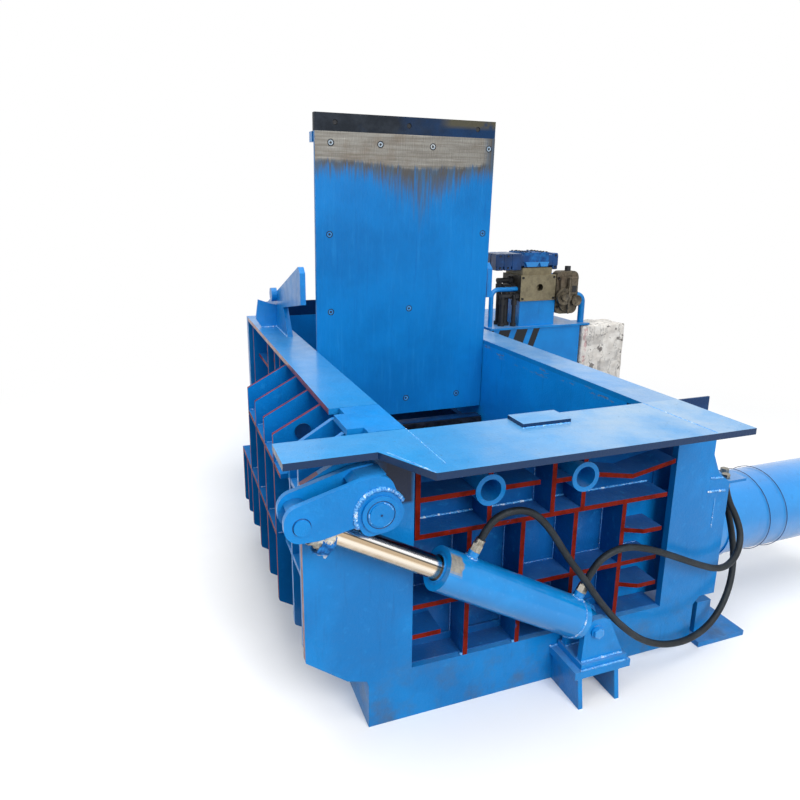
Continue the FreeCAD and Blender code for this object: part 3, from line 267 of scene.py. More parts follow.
@dataclass(frozen=True)
class Enamel(Finish):
    """Alkyd machinery enamel sprayed over hot-rolled plate.

    It gives the eye a deep blue with a soft gloss, a slight ripple from the spray, dust and a
    painted sky sheen on level faces, grime near the floor and red-brown primer on the faces that
    were left bare. Some copies add painted shade: high up, in the corner by the crank, and on
    faces that do not look up.
    """

    base: str = "#0A84D0"
    deep: str = "#0874BC"
    pale: str = "#2E9FE4"
    rim_shade: str = ""
    shaded: bool = False
    primer: Side = Side.NONE
    primer_left_of: float = NOWHERE
    scuffed_above: float = NOWHERE
    dust_and_sheen: float = 0.35
    grime: float = 0.5
    ripple: float = 0.0005
    gloss: float = 0.25
    shine: float = 0.2
    nook_shade: bool = False
    shade_from: float = 0.72

    def paint(self, s: Sheet) -> None:
        """Lay the coats, the wear and the relief."""
        x, _, z = s.spot
        s.colour = s.layer(self.deep, self.base, s.patches(380.0, 0.36, 0.64))
        s.coat(self.pale, s.patches(28.0, 0.55, 0.8, 6.0), 0.3)
        s.coat("#083F7C", s.patches(22.0, 0.55, 0.8, 5.0, (1.0, 1.0, 0.1)), 0.25)
        level = s.add("MapRange", s.facing[2], 0.8, 0.98)
        # Level faces get a pale coat of dust and painted sky sheen, heavier on the right side of
        # the machine, which stands in the open.
        share = s.add("MapRange", x, -0.35, 0.2, self.dust_and_sheen * 0.2, self.dust_and_sheen)
        s.coat("#A2B2BE", s.patches(260.0, 0.2, 0.75, 7.0), share, level)
        s.coat("#3D5C70", s.patches(9.0, 0.66, 0.7, 3.0), level, 0.55)
        low = s.add("MapRange", z, 0.3, 0.0, 0.0, self.grime)
        s.coat("#57544A", s.patches(110.0, 0.45, 0.72, 7.0), low)
        if self.shaded:
            # Painted shade: darker towards the top, under the loading sheet's overhang.
            high = s.add("MapRange", z, self.shade_from, self.shade_from + 0.18)
            s.coat("#05193A", high, 0.8)
        if self.nook_shade:
            # Painted shade: the corner above the left pillar, where the crank turns, lies in deep
            # shade and is darkened here.
            limits = (x, -0.415, -0.428), (x, -0.56, -0.5), (z, 0.738, 0.748)
            s.coat("#031A3A", *(s.add("MapRange", *limit) for limit in limits))
        if self.rim_shade:
            # Painted shade: faces that do not look up, such as the sheet's edges and underside, get
            # the darker colour.
            edge = s.add("MapRange", s.facing[2], 0.7, 0.4)
            s.coat(self.rim_shade, edge)
        if self.scuffed_above < NOWHERE:
            high = s.add("MapRange", z, self.scuffed_above, self.scuffed_above + 0.012)
            torn = s.patches(60.0, 0.56, 0.62, 8.0, (1.0, 0.5, 3.0))
            scuff = s.layer("#6E8CA4", "#40546A", s.patches(20.0, 0.4, 0.7))
            side = s.add("MapRange", s.facing[0], -0.5, -0.8)
            s.coat(scuff, torn, high, side)
        if self.primer is not Side.NONE:
            axis, sign = self.primer.value
            edge = s.add("Math MULTIPLY", s.facing[axis], sign)
            edge = s.add("MapRange", edge, 0.3, 0.5)
            left = s.add("Math LESS_THAN", x, self.primer_left_of)
            red = s.layer("#7C1D0D", "#5C1208", s.patches(60.0, 0.4, 0.66))
            red = s.layer(red, "#1E5FA4", s.patches(34.0, 0.66, 0.74, 6.0), 0.8)
            s.coat(red, edge, left)
        rough = s.add("MapRange", s.patches(60.0, 0.3, 0.7), 0.0, 1.0, 0.3, 0.46)
        relief = s.add("Math ADD", s.patches(7.0, 0.2, 0.8, 2.0), s.patches(95.0, 0.2, 0.8, 3.0))
        s.finish(rough, relief, self.ripple, Coat_Weight=self.gloss, Coat_Roughness=0.18, IOR=1.5,
                 Specular_IOR_Level=self.shine)


@dataclass(frozen=True)
class WornFace(Finish):
    """The lid's face: enamel scraped down to ground plate along its upper edge.

    The scrap that slides down it leaves a steel band with streaks across, and long brown
    and grey streaks down the blue below it, longest in the middle.
    """

    name: str = "lid_face_paint"
    band_low: float = 1.766
    band_right: float = 0.405
    centre: float = 0.07
    streak: float = 0.3

    def paint(self, s: Sheet) -> None:
        """Lay the coats, the wear and the relief."""
        x, _, z = s.spot
        s.colour = s.layer("#0A69AC", "#0D78C0", s.patches(520.0, 0.36, 0.64))
        s.coat("#2F94D8", s.patches(60.0, 0.5, 0.85, 6.0, (4.0, 4.0, 0.25)), 0.3)
        s.coat("#06509C", s.patches(14.0, 0.56, 0.8, 5.0, (1.0, 1.0, 0.03)), 0.35)
        # How far a point lies below the band, whose edge is a little lower at the middle.
        middle = s.add("Math SUBTRACT", x, self.centre)
        middle = s.add("Math ABSOLUTE", middle)
        sag = s.add("MapRange", middle, 0.0, 0.3, 0.026, 0.0)
        wander = s.add("MapRange", s.patches(120.0, 0.1, 0.9, 7.0, (1.0, 1.0, 0.3)), 0.0, 1.0,
                       -0.012, 0.012)
        lines = s.patches(8.0, 0.25, 0.75, 4.0, (1.0, 1.0, 0.03))
        level = s.add("Math MULTIPLY", lines, 0.016)
        for part in (sag, wander, z):
            level = s.add("Math ADD", level, part)
        band = s.add("MapRange", level, self.band_low - 0.004, self.band_low + 0.018,
                     interpolation_type="SMOOTHSTEP")
        # Near the band the streaks run together, and further down only the deepest are left.
        reach = s.add("MapRange", middle, 0.0, 0.24, self.streak, 0.09)
        depth = s.add("Math SUBTRACT", self.band_low, level)
        fade = s.add("Math DIVIDE", depth, reach)
        fade = s.add("MapRange", fade, 1.0, 0.0)
        dense = s.add("Math ADD", lines, fade)
        streaks = s.add("MapRange", dense, 0.6, 1.3)
        brown = s.layer("#46586A", "#4E4C4A", s.patches(30.0, 0.4, 0.6, 3.0, (1.0, 1.0, 0.1)))
        front = s.add("MapRange", s.facing[1], -0.3, -0.6)
        s.coat(brown, streaks, fade, front, 1.1)
        steel = s.layer("#7C7A74", "#68645E", s.patches(26.0, 0.35, 0.65, 7.0, (0.12, 1.0, 2.5)))
        steel = s.layer(steel, "#A3A09A", s.patches(9.0, 0.58, 0.72, 4.0, (0.04, 1.0, 2.0)), 0.7)
        steel = s.layer(steel, "#655A4E", s.patches(120.0, 0.5, 0.72, 6.0), 0.55)
        side = s.add("MapRange", x, self.band_right, self.band_right - 0.045)
        for edge in (side, front):
            band = s.add("Math MULTIPLY", band, edge)
        s.coat(steel, band)
        rough = s.add("MapRange", band, 0.0, 1.0, 0.36, 0.5)
        relief = s.add("Math ADD", s.patches(5.0, 0.3, 0.7, 3.0, (1.0, 1.0, 0.1)),
                       s.patches(140.0, 0.2, 0.8, 3.0))
        bare = s.add("Math MULTIPLY", band, 0.55)
        s.finish(rough, relief, 0.0006, Metallic=bare, Coat_Weight=0.1, Coat_Roughness=0.3,
                 Specular_IOR_Level=0.1)


@dataclass(frozen=True)
class Metal(Finish):
    """Bare metal with its grain and some staining.

    A zinc-plated fitting is bright and a phosphated casting dull and khaki. The flat near-black
    socket shadow finish paints the shade inside sockets, holes and openings, and some copies
    paint shade on faces turned to the left.
    """

    light: str
    dark: str
    stain: str = "#5A4A3C"
    rough: tuple[float, float] = (0.22, 0.4)
    grain_size: float = 30.0
    metallic: float = 1.0
    stained: float = 0.3
    left: str = ""

    def paint(self, s: Sheet) -> None:
        """Lay the coats, the wear and the relief."""
        grain = s.patches(self.grain_size, 0.3, 0.7, 6.0)
        s.colour = s.layer(self.dark, self.light, grain)
        s.coat(self.stain, s.patches(110.0, 0.5, 0.74, 7.0), self.stained)
        if self.left:
            # Painted shade on faces turned to the left.
            side = s.add("MapRange", s.facing[0], -0.5, -0.8)
            s.coat(self.left, side)
        rough = s.add("MapRange", grain, 0.0, 1.0, *self.rough)
        s.finish(rough, grain, 0.0001, Metallic=self.metallic)


@dataclass(frozen=True)
class HardenedBlade(Finish):
    """Hardened blade steel with its dark scale, over-sprayed blue towards the right."""

    name: str = "blade_scale"
    rust_above: float = 1.912
    rust_right_of: float = 0.14

    def paint(self, s: Sheet) -> None:
        """Lay the coats, the wear and the relief."""
        x, _, z = s.spot
        wander = s.add("MapRange", s.patches(160.0, 0.1, 0.9), 0.0, 1.0, -0.22, 0.22)
        right = s.add("Math ADD", x, wander)
        blue = s.add("MapRange", right, -0.1, 0.3)
        s.colour = s.layer("#161C24", "#262C34", s.patches(60.0, 0.35, 0.7, 6.0))
        s.coat("#0E3258", blue, 0.85)
        high = s.add("MapRange", z, self.rust_above, self.rust_above + 0.018)
        far = s.add("MapRange", x, self.rust_right_of, self.rust_right_of + 0.06)
        s.coat("#4C493C", s.patches(70.0, 0.3, 0.5, 7.0), high, far)
        grain = s.patches(12.0, 0.3, 0.7, 4.0)
        s.finish(0.55, grain, 0.0004, Specular_IOR_Level=0.12)


@dataclass(frozen=True)
class HardChrome(Finish):
    """Ground hard chrome on a rod, which shows the dark machine above and the floor below.

    Its colour carries a painted reflection of them in lengthwise bands: near black on top, a
    painted white highlight, then warm grey. The turn-out rod's eye is painted.
    """

    name: str = "hard_chrome"
    eye: float = 0.052

    def paint(self, s: Sheet) -> None:
        """Lay the coats, the wear and the relief."""
        up = s.facing[2]
        s.colour = s.layer("#B5A188", "#CABBA5", s.patches(40.0, 0.3, 0.7))
        # Painted reflection: bands by how far the surface faces up.
        for low, high, tone in ((-0.3, -0.2, "#D8CDBD"), (0.05, 0.12, "#C5AE90"),
                                (0.36, 0.40, "#6E665C"), (0.44, 0.50, "#FFFFFF"),
                                (0.68, 0.76, "#8D877E"), (0.82, 0.90, "#15130F")):
            s.coat(tone, s.add("MapRange", up, low, high))
        s.coat("#7E705F", s.patches(70.0, 0.6, 0.72, 6.0), 0.25)
        away = s.add("VectorMath DISTANCE", s.place, tuple(CRANK_PIN), out=1)
        eye = s.add("MapRange", away, self.eye + 0.002, self.eye)
        s.coat("#0B74B8", eye)
        bare = s.add("Math SUBTRACT", 1.0, eye)
        rough = s.add("MapRange", eye, 0.0, 1.0, 0.16, 0.4)
        grain = s.patches(2.0, 0.3, 0.7, 2.0)
        s.finish(rough, grain, 0.00002, Metallic=bare)


@dataclass(frozen=True)
class BaredBarrel(Finish):
    """The turn-out barrel's enamel, glossy, with a bared khaki patch behind its mouth."""

    name: str = "turn_barrel_enamel"
    start: float = 0.458
    end: float = 0.512

    def paint(self, s: Sheet) -> None:
        """Lay the coats, the wear and the relief."""
        away = s.add("VectorMath SUBTRACT", s.place, tuple(CRANK_PIN))
        station = s.add("VectorMath DOT_PRODUCT", away, tuple(TURN_AXIS), out=1)
        s.colour = s.layer("#0B82CC", "#0E90DC", s.patches(260.0, 0.36, 0.64))
        s.coat("#55B4F2", s.patches(18.0, 0.56, 0.8), 0.3)
        ragged = s.add("MapRange", s.patches(26.0, 0.1, 0.9, 6.0), 0.0, 1.0, -0.012, 0.012)
        along = s.add("Math ADD", station, ragged)
        first = s.add("MapRange", along, self.start, self.start + 0.004)
        last = s.add("MapRange", along, self.end, self.end - 0.008)
        _, y, z = s.facing
        front = s.add("MapRange", y, -0.28, -0.4)
        above = s.add("MapRange", z, 0.22, 0.36)
        bare = s.layer("#A79C84", "#8A8170", s.patches(20.0, 0.35, 0.65))
        s.coat(bare, first, last, front, above, 0.9)
        relief = s.patches(80.0, 0.2, 0.8, 3.0)
        s.finish(0.3, relief, 0.0003, Coat_Weight=0.7, Coat_Roughness=0.1, IOR=1.5,
                 Specular_IOR_Level=0.1)


@dataclass(frozen=True)
class TwoPart(Finish):
    """Two finishes on one casting or set of bolts, parted at a height.

    The valve stack has a phosphated sandwich block below dark blue cast bodies, and the
    lid's bolts are painted over except in the bared band.
    """

    joint: float
    lower: tuple[str, str]
    upper: tuple[str, str]
    gap: float = 0.0025

    def paint(self, s: Sheet) -> None:
        """Lay the coats, the wear and the relief."""
        z = s.spot[2]
        grain = s.patches(40.0, 0.35, 0.65, 6.0)
        low = s.add("Math LESS_THAN", z, self.joint)
        s.colour = s.layer(s.layer(*self.upper, grain), s.layer(*self.lower, grain), low)
        gap = s.add("Math COMPARE", z, self.joint, self.gap)
        s.coat("#15181C", gap)
        s.finish(0.5, s.patches(6.0, 0.2, 0.8), 0.0004, Specular_IOR_Level=0.25)


@dataclass(frozen=True)
class PaintedGland(Finish):
    """The gland's painted face, with the dark scraper ring that lies against the rod."""

    name: str = "painted_gland"
    scraper: float = 0.0385

    def paint(self, s: Sheet) -> None:
        """Lay the coats, the wear and the relief."""
        away = s.add("VectorMath SUBTRACT", s.place, tuple(CRANK_PIN))
        away = s.add("VectorMath CROSS_PRODUCT", away, tuple(TURN_AXIS))
        radius = s.add("VectorMath LENGTH", away, out=1)
        grain = s.patches(18.0, 0.35, 0.65)
        s.colour = s.layer("#0B78BE", "#1288D0", grain)
        inner = s.add("MapRange", radius, self.scraper + 0.0006, self.scraper)
        s.coat("#0C0E12", inner)
        s.finish(0.35, grain, 0.0002, Coat_Weight=0.4, Coat_Roughness=0.15)


@dataclass(frozen=True)
class HoseCover(Finish):
    """Black hose rubber, matt and dusty, with the faint print of its cloth wrapping."""

    name: str = "hose_cover"

    def paint(self, s: Sheet) -> None:
        """Lay the coats, the wear and the relief."""
        s.colour = s.layer("#12181D", "#2A333A", s.patches(90.0, 0.4, 0.72, 6.0), 0.7)
        s.coat("#54503F", s.patches(40.0, 0.62, 0.74, 6.0), 0.5)
        # The cloth print is 1 mm in life and drawn at 3 mm so that it shows.
        s.finish(0.5, s.patches(3.0, 0.2, 0.8, 2.0), 0.0005, IOR=1.5, Specular_IOR_Level=0.25)


@dataclass(frozen=True)
class Paper(Finish):
    """Crumpled wrapping paper or film, with soft grey fields where it is printed."""

    light: str = "#D9D5CE"
    shade: str = "#B5AFA6"
    ink: str = "#7C7A7A"
    printed: bool = False
    crease: float = 45.0
    tail_below: float = -1.0
    lines_per_metre: float = 120.0
    column: float = 1.462

    def paint(self, s: Sheet) -> None:
        """Lay the coats, the wear and the relief."""
        x, _, z = s.spot
        crease = s.patches(self.crease, 0.3, 0.72, 7.0)
        # Painted shade: darker along the crease pattern that also gives the relief.
        s.colour = s.layer(self.light, self.shade, crease, 0.8)
        if self.printed:
            place = s.add("VectorMath MULTIPLY", s.place, (9.0, 9.0, 11.0))
            cells = s.add("TexVoronoi", sockets={"Vector": place, "Scale": 1.0, "Randomness": 0.6},
                          distance="CHEBYCHEV").node.outputs
            block = s.add("MapRange", cells["Distance"], 0.4, 0.34)
            tone = s.add("MapRange", cells["Color"], 0.3, 0.75, 0.0, 0.8)
            rows = s.add("Math MULTIPLY", z, self.lines_per_metre)
            rows = s.add("Math FRACT", rows)
            rows = s.add("MapRange", rows, 0.35, 0.5, 0.35, 1.0)
            s.coat(self.ink, block, rows, tone)
            s.coat("#3E3838", s.patches(52.0, 0.64, 0.67, 2.0), 0.75)
            # A fold is the thin line between two steps of one cloud, painted darker as its shade.
            fold_shade, back = (s.patches(60.0, low, low + 0.03, 3.0, (1.0, 1.0, 0.4))
                          for low in (0.47, 0.5))
            fold_shade = s.add("Math SUBTRACT", fold_shade, back, use_clamp=True)
            s.coat("#8F8A84", fold_shade, 0.55)
            column = s.add("Math COMPARE", x, self.column, 0.014)
            s.coat("#C98F92", column, s.patches(30.0, 0.45, 0.6), 0.6)
        if self.tail_below > 0.0:
            tail = s.add("MapRange", z, self.tail_below, self.tail_below - 0.008)
            s.coat("#DDE6EC", tail)
        s.finish(0.75, crease, 0.003, Specular_IOR_Level=0.3)


@dataclass(frozen=True)
class StripedEnamel(Finish):
    """The tank's enamel with slanted black bars masked and sprayed on its front."""

    name: str = "tank_stripes"
    right_end: float = 1.126
    pitch: float = 0.117
    bar_half: float = 0.17
    slant: float = 0.36
    top: float = 0.868
    low: float = 0.66

    def paint(self, s: Sheet) -> None:
        """Lay the coats, the wear and the relief."""
        x, _, z = s.spot
        s.colour = s.layer("#0A78C4", "#0C88D6", s.patches(380.0, 0.36, 0.64))
        lean = s.add("Math MULTIPLY", z, -self.slant)
        run = s.add("Math ADD", x, lean)
        run = s.add("Math SUBTRACT", run, self.right_end - self.slant * self.top)
        inside = s.add("Math LESS_THAN", run, 0.0)
        bars = s.add("Math MULTIPLY", run, 1.0 / self.pitch)
        bars = s.add("Math FRACT", bars)
        # The blue between two bars is a third of the pitch.
        bars = s.add("Math COMPARE", bars, 0.445, self.bar_half)
        bars = s.add("Math SUBTRACT", 1.0, bars)
        front = s.add("MapRange", s.facing[1], -0.5, -0.8)
        high = s.add("Math GREATER_THAN", z, self.low)
        s.coat("#14161B", bars, inside, front, high)
        relief = s.patches(95.0, 0.2, 0.8, 3.0)
        s.finish(0.38, relief, 0.0004, Coat_Weight=0.25, Coat_Roughness=0.2, IOR=1.5,
                 Specular_IOR_Level=0.2)


@dataclass(frozen=True)
class WeldBead(Finish):
    """Weld metal under enamel: rippled, with near-white patches that are bare spatter and painted
    glints.
    """

    name: str = "weld_bead"
    base: str = "#1B7CCB"
    crest: str = "#57ACEA"
    bare: tuple[float, float] = (0.55, 0.64)

    def paint(self, s: Sheet) -> None:
        """Lay the coats, the wear and the relief."""
        s.colour = s.layer(self.base, self.crest, s.patches(9.0, 0.35, 0.65))
        # Near-white patches: bare spatter and painted glints.
        s.coat("#DDEBF3", s.patches(16.0, *self.bare, 6.0), 0.85)
        s.finish(0.25, s.patches(2.0, 0.2, 0.8, 2.0), 0.0004, Coat_Weight=0.6, Coat_Roughness=0.12,
                 IOR=1.5)


@dataclass(frozen=True)
class PaleFloor(Finish):
    """The studio's floor: white to the eye with the machine's shadow, grey to the light.

    Far from the machine it is plain white, so that no horizon shows.
    """

    name: str = "pale_floor"
    near: float = 2.2
    far: float = 4.2

    def paint(self, s: Sheet) -> None:
        """Lay the coats, the wear and the relief."""
        eye = s.seen()
        grain = s.patches(700.0, 0.3, 0.7)
        white = s.layer("#FBFBFB", "#FFFFFF", grain)
        s.colour = s.layer("#808286", white, eye)
        reach = s.add("VectorMath LENGTH", s.place, out=1)
        away = s.add("MapRange", reach, self.near, self.far, interpolation_type="SMOOTHSTEP")
        glow = s.add("Emission", sockets={"Color": (1.0, 1.0, 1.0, 1.0), "Strength": 1.0})
        s.finish(0.9, grain, 0.0001, Specular_IOR_Level=0.05)
        plain = s.add("Math MULTIPLY", away, eye)
        mix = s.add("MixShader", plain, s.shader.outputs[0], glow)
        s.give(s.tree.nodes["Material Output"].inputs[0], mix)


class Finishes:
    """Every finish, built once and handed out by name."""

    def __init__(self) -> None:
        """Build all the materials."""
        recipes = (
            Enamel("plate_enamel"),
            Enamel("front_plate_enamel", primer=Side.LEFT, primer_left_of=-0.7, nook_shade=True),
            # The wall behind the front grid and the grid itself wear darker copies of the enamel, a
            # painted shade.
            Enamel("recess_shade_enamel", base="#0B5CA2", deep="#084C8C", shaded=True, dust_and_sheen=0.1,
                   gloss=0.1),
            Enamel("grid_shade_enamel", base="#0B5AA0", deep="#094A8A", primer=Side.FRONT,
                   shaded=True, dust_and_sheen=0.12, gloss=0.0, shine=0.05),
            Enamel("left_rib_enamel", base="#0A72BC", deep="#0868AC", primer=Side.LEFT,
                   primer_left_of=0.0, gloss=0.0, shine=0.02),
            Enamel("flange_enamel", base="#1082C6", deep="#0C78B8", primer=Side.LEFT,
                   primer_left_of=0.0, dust_and_sheen=0.5, gloss=0.4),
            Enamel("right_rib_enamel", primer=Side.RIGHT, gloss=0.0, shine=0.05),
            Enamel("right_wall_enamel", base="#0E92E0", deep="#0C84D0", scuffed_above=0.885),
            # A dark navy copy of the enamel paints the shade on pieces deep in the chamber.
            Enamel("ram_shade_enamel", base="#0A3C6C", deep="#082E56", pale="#1C5C94", dust_and_sheen=0.0,
                   gloss=0.0),
            Enamel("sheet_enamel", base="#188ACA", deep="#1280BE", dust_and_sheen=0.75, rim_shade="#042A50",
                   gloss=0.3),
            Enamel("cylinder_enamel", base="#0E8CD8", deep="#0B80CA", dust_and_sheen=0.1, grime=0.1,
                   ripple=0.0003, gloss=1.0),
            Enamel("valve_enamel", base="#0E447E", deep="#08284C", pale="#2870B4", grime=0.0),
            TwoPart("valve_stack", 1.235, ("#857A5E", "#6B624C"), ("#0C3A70", "#1A66A6")),
            TwoPart("lid_bolt_heads", 1.74, ("#1E78BE", "#4C9CD8"), ("#8FA3B4", "#B4B8B8")),
            PaintedGland(),
            Metal("socket_shadow", "#0F1218", "#08090C", rough=(0.6, 0.8), metallic=0.0,
                  stained=0.0),
            WornFace(),
            HardenedBlade(),
            Metal("shear_steel", "#3A3C40", "#1C1D21", rough=(0.35, 0.55), metallic=0.8),
            HardChrome(),
            Metal("zinc_fitting", "#A9A498", "#7C776C", rough=(0.26, 0.42), grain_size=12.0),
            BaredBarrel(),
            Metal("phosphated_block", "#857C62", "#665E4A", rough=(0.45, 0.62), metallic=0.45,
                  stained=0.45, left="#2E2A22"),
            Metal("pump_casting", "#6E6452", "#3C372D", rough=(0.5, 0.65), metallic=0.35,
                  stained=0.6, grain_size=16.0),
            Metal("black_screw", "#2C2D30", "#17181A", rough=(0.35, 0.5), metallic=0.6),
            HoseCover(),
            Paper("newsprint", light="#F1EDE6", shade="#CFC8BF", printed=True),
            Paper("masking_paper", light="#E4DFD2", shade="#8E887A", crease=22.0),
            Paper("masking_film", light="#2E93E6", shade="#0A3F80", crease=16.0, tail_below=0.682),
            StripedEnamel(),
            WeldBead(),
            WeldBead("painted_bead", "#0E5AA6", "#2A78C2", (0.68, 0.76)),
            PaleFloor(),
        )
        self.materials = {recipe.name: recipe.build() for recipe in recipes}

    def wear(self, thing: Thing, name: str) -> None:
        """Give a piece one finish in place of what it has."""
        thing.data.materials.clear()
        thing.data.materials.append(self.materials[name])


def alone(thing: Thing) -> None:
    """Make one object the only selected and active one."""
    bpy.ops.object.select_all(action="DESELECT")
    thing.select_set(True)
    bpy.context.view_layer.objects.active = thing


def named(name: str) -> Thing:
    """Name the active object and return it."""
    thing = bpy.context.active_object
    thing.name = name
    thing.data.name = name
    return thing


@contextmanager
def editing() -> Iterator[None]:
    """Edit the active object's mesh, with all of it selected at first."""
    bpy.ops.object.mode_set(mode="EDIT")
    bpy.ops.mesh.select_all(action="SELECT")
    yield
    bpy.ops.object.mode_set(mode="OBJECT")


def applied() -> None:
    """Apply the active object's own place, turn and scale."""
    bpy.ops.object.transform_apply(location=True, rotation=True, scale=True)


def settled(thing: Thing) -> Thing:
    """Apply every modifier and the object's own place, turn and scale."""
    alone(thing)
    for modifier in list(thing.modifiers):
        bpy.ops.object.modifier_apply(modifier=modifier.name)
    applied()
    return thing


def joined(name: str, things: Sequence[Thing]) -> Thing:
    """Join several objects into one."""
    bpy.ops.object.select_all(action="DESELECT")
    for thing in things:
        thing.select_set(True)
    bpy.context.view_layer.objects.active = things[0]
    if len(things) > 1:
        bpy.ops.object.join()
    return named(name)


def aimed(thing: Thing, place: Place, axis: Place) -> None:
    """Put an object at a place with its +Z along an axis."""
    thing.rotation_mode = "QUATERNION"
    thing.rotation_quaternion = Vector(axis).to_track_quat("Z", "Y")
    thing.location = place


def crumpled(thing: Thing, grain: float, strength: float, middle: float = 0.5) -> None:
    """Displace an object's surface by a cloud texture.

    Args:
        thing: the object.
        grain: size of the clouds in metres.
        strength: depth in metres.
        middle: texture value that moves nothing.
    """
    texture = bpy.data.textures.new("crumple", "CLOUDS")
    texture.noise_scale = grain
    modifier = thing.modifiers.new("crumple", "DISPLACE")
    modifier.texture = texture
    modifier.strength = strength
    modifier.mid_level = middle


def seam(start: Place, end: Place, size: float) -> Thing:
    """A straight weld bead, as an unbroken row of flattened drops.

    Args:
        start: first end, in metres.
        end: last end.
        size: the bead's half width.

    Returns:
        The bead, in place.
    """
    first, last = Vector(start), Vector(end)
    pitch = size * BEAD_PITCH
    bpy.ops.mesh.primitive_uv_sphere_add(radius=size, **BEAD)
    bead = bpy.context.active_object
    with editing():
        bpy.ops.transform.resize(value=(1.0, 1.0, 0.85))
    row = bead.modifiers.new("row", "ARRAY")
    row.use_relative_offset = False
    row.use_constant_offset = True
    row.constant_offset_displace = (0.0, 0.0, pitch)
    row.count = max(2, int((last - first).length / pitch))
    crumpled(bead, 0.011, size * 0.7)
    aimed(bead, first, last - first)
    return settled(bead)


def seams(*rows: tuple[float, ...]) -> list[Thing]:
    """Straight weld beads, each from its ends' places and its half width.

    Args:
        rows: X, Y and Z of both ends, with Y from the front plate on, and the half width.

    Returns:
        The beads, in place.
    """
    return [seam((x0, FRONT + y0, z0), (x1, FRONT + y1, z1), size)
            for x0, y0, z0, x1, y1, z1, size in rows]


def ring_seam(centre: Place, radius: float, axis: Place,
              size: float = 0.005, sweep: tuple[float, float] = (0.0, 360.0)) -> Thing:
    """A weld bead round a hub or tube, or part of the way round.

    Args:
        centre: middle of the ring.
        radius: its radius, in metres.
        axis: direction that it goes round.
        size: the bead's half width.
        sweep: first and last angle from the ring's own X, in degrees.

    Returns:
        The bead, in place.
    """
    low, high = (math.radians(angle) for angle in sweep)
    steps = max(8, int((high - low) * radius / (size * RING_PITCH)))
    start = (radius * math.cos(low), radius * math.sin(low), 0.0)
    bpy.ops.mesh.primitive_uv_sphere_add(radius=size, location=start,
                                         rotation=(0.0, 0.0, low), **BEAD)
    ring = bpy.context.active_object
    applied()
    with editing():
        # With no window the spin turns clockwise for a positive angle.
        bpy.ops.mesh.spin(steps=steps, angle=low - high, center=(0.0, 0.0, 0.0), axis=UP,
                          dupli=True)
    crumpled(ring, 0.009, size * 0.8)
    aimed(ring, centre, axis)
    return settled(ring)


def groove(place: Place, axis: Place, radius: float, width: float, segments: int) -> Thing:
    """A thin dark ring that stands for a gap or groove; its width is half of what shows."""
    bpy.ops.mesh.primitive_torus_add(major_radius=radius, minor_radius=width,
                                     major_segments=segments, minor_segments=6)
    ring = bpy.context.active_object
    aimed(ring, place, axis)
    return settled(ring)


def bevelled(name: str, low: Place, high: Place, edge: float) -> Thing:
    """A plate or block between two corners, with rounded edges."""
    first, last = Vector(low), Vector(high)
    bpy.ops.mesh.primitive_cube_add(size=1.0, location=(first + last) / 2)
    block = named(name)
    block.scale = last - first
    settled(block)
    bevel = block.modifiers.new("edge", "BEVEL")
    bevel.width = edge
    bevel.segments = 3
    return settled(block)


def ring_places(count: int, radius: float) -> Iterator[tuple[float, float]]:
    """Across and up, for screws spread round a circle with none on its level line."""
    for index in range(count):
        angle = math.radians(360 / count * (index + 0.5))
        yield radius * math.cos(angle), radius * math.sin(angle)


def screw_head(place: Place, axis: Place, radius: float, height: float, corners: int = 6) -> Thing:
    """A screw head: hexagonal, or round with a sunk hexagon.

    Args:
        place: middle of the head's seat.
        axis: direction from the seat outwards.
        radius: corner radius in metres.
        height: how far it stands out.
        corners: 6 for a hexagon, more for a socket head.

    Returns:
        The head, in place.
    """
    bpy.ops.mesh.primitive_cylinder_add(vertices=corners, radius=radius, depth=height,
                                        location=(0.0, 0.0, height / 2))
    applied()
    head = bpy.context.active_object
    top = [f.index for f in head.data.polygons if f.normal.z > 0.9]
    bpy.ops.object.mode_set(mode="EDIT")
    bpy.ops.mesh.select_all(action="DESELECT")
    bpy.ops.object.mode_set(mode="OBJECT")
    for index in top:
        head.data.polygons[index].select = True
    bpy.ops.object.mode_set(mode="EDIT")
    bpy.ops.mesh.inset(thickness=radius * (0.22 if corners == 6 else 0.45))
    bpy.ops.transform.translate(value=(0.0, 0.0, height * (0.12 if corners == 6 else -0.5)))
    bpy.ops.object.mode_set(mode="OBJECT")
    aimed(head, place, axis)
    return settled(head)


@dataclass
class Dresser:
    """Shared work of the sub-assemblies: finishes on nodes, seams and softened edges."""

    finishes: Finishes
    nodes: dict[str, Thing] = field(default_factory=lambda: frame["nodes"])

    def finish(self, names: str, material: str, edge: float = 0.0) -> None:
        """Give nodes a finish, and round their edges where a width is given.

        Args:
            names: the nodes, parted by spaces.
            material: the finish's name.
            edge: width of the rounding in metres.
        """
        for name in names.split():
            node = self.nodes[name]
            self.finishes.wear(node, material)
            if edge:
                bevel = node.modifiers.new("soft_edge", "BEVEL")
                bevel.width = edge
                bevel.segments = 2
                bevel.limit_method = "ANGLE"
                bevel.angle_limit = SOFT_EDGE_ANGLE

    def piece(self, thing: Thing, material: str, body: Body = Body.FRAME) -> None:
        """Finish a new piece and let it ride on a body."""
        self.finishes.wear(thing, material)
        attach(thing, body.value)

    def group(self, name: str, things: Sequence[Thing], material: str, body: Body = Body.FRAME,
              smooth: bool = True) -> None:
        """Join small things into one piece of a body."""
        thing = joined(name, things)
        alone(thing)
        if smooth:
            bpy.ops.object.shade_smooth()
        self.piece(thing, material, body)


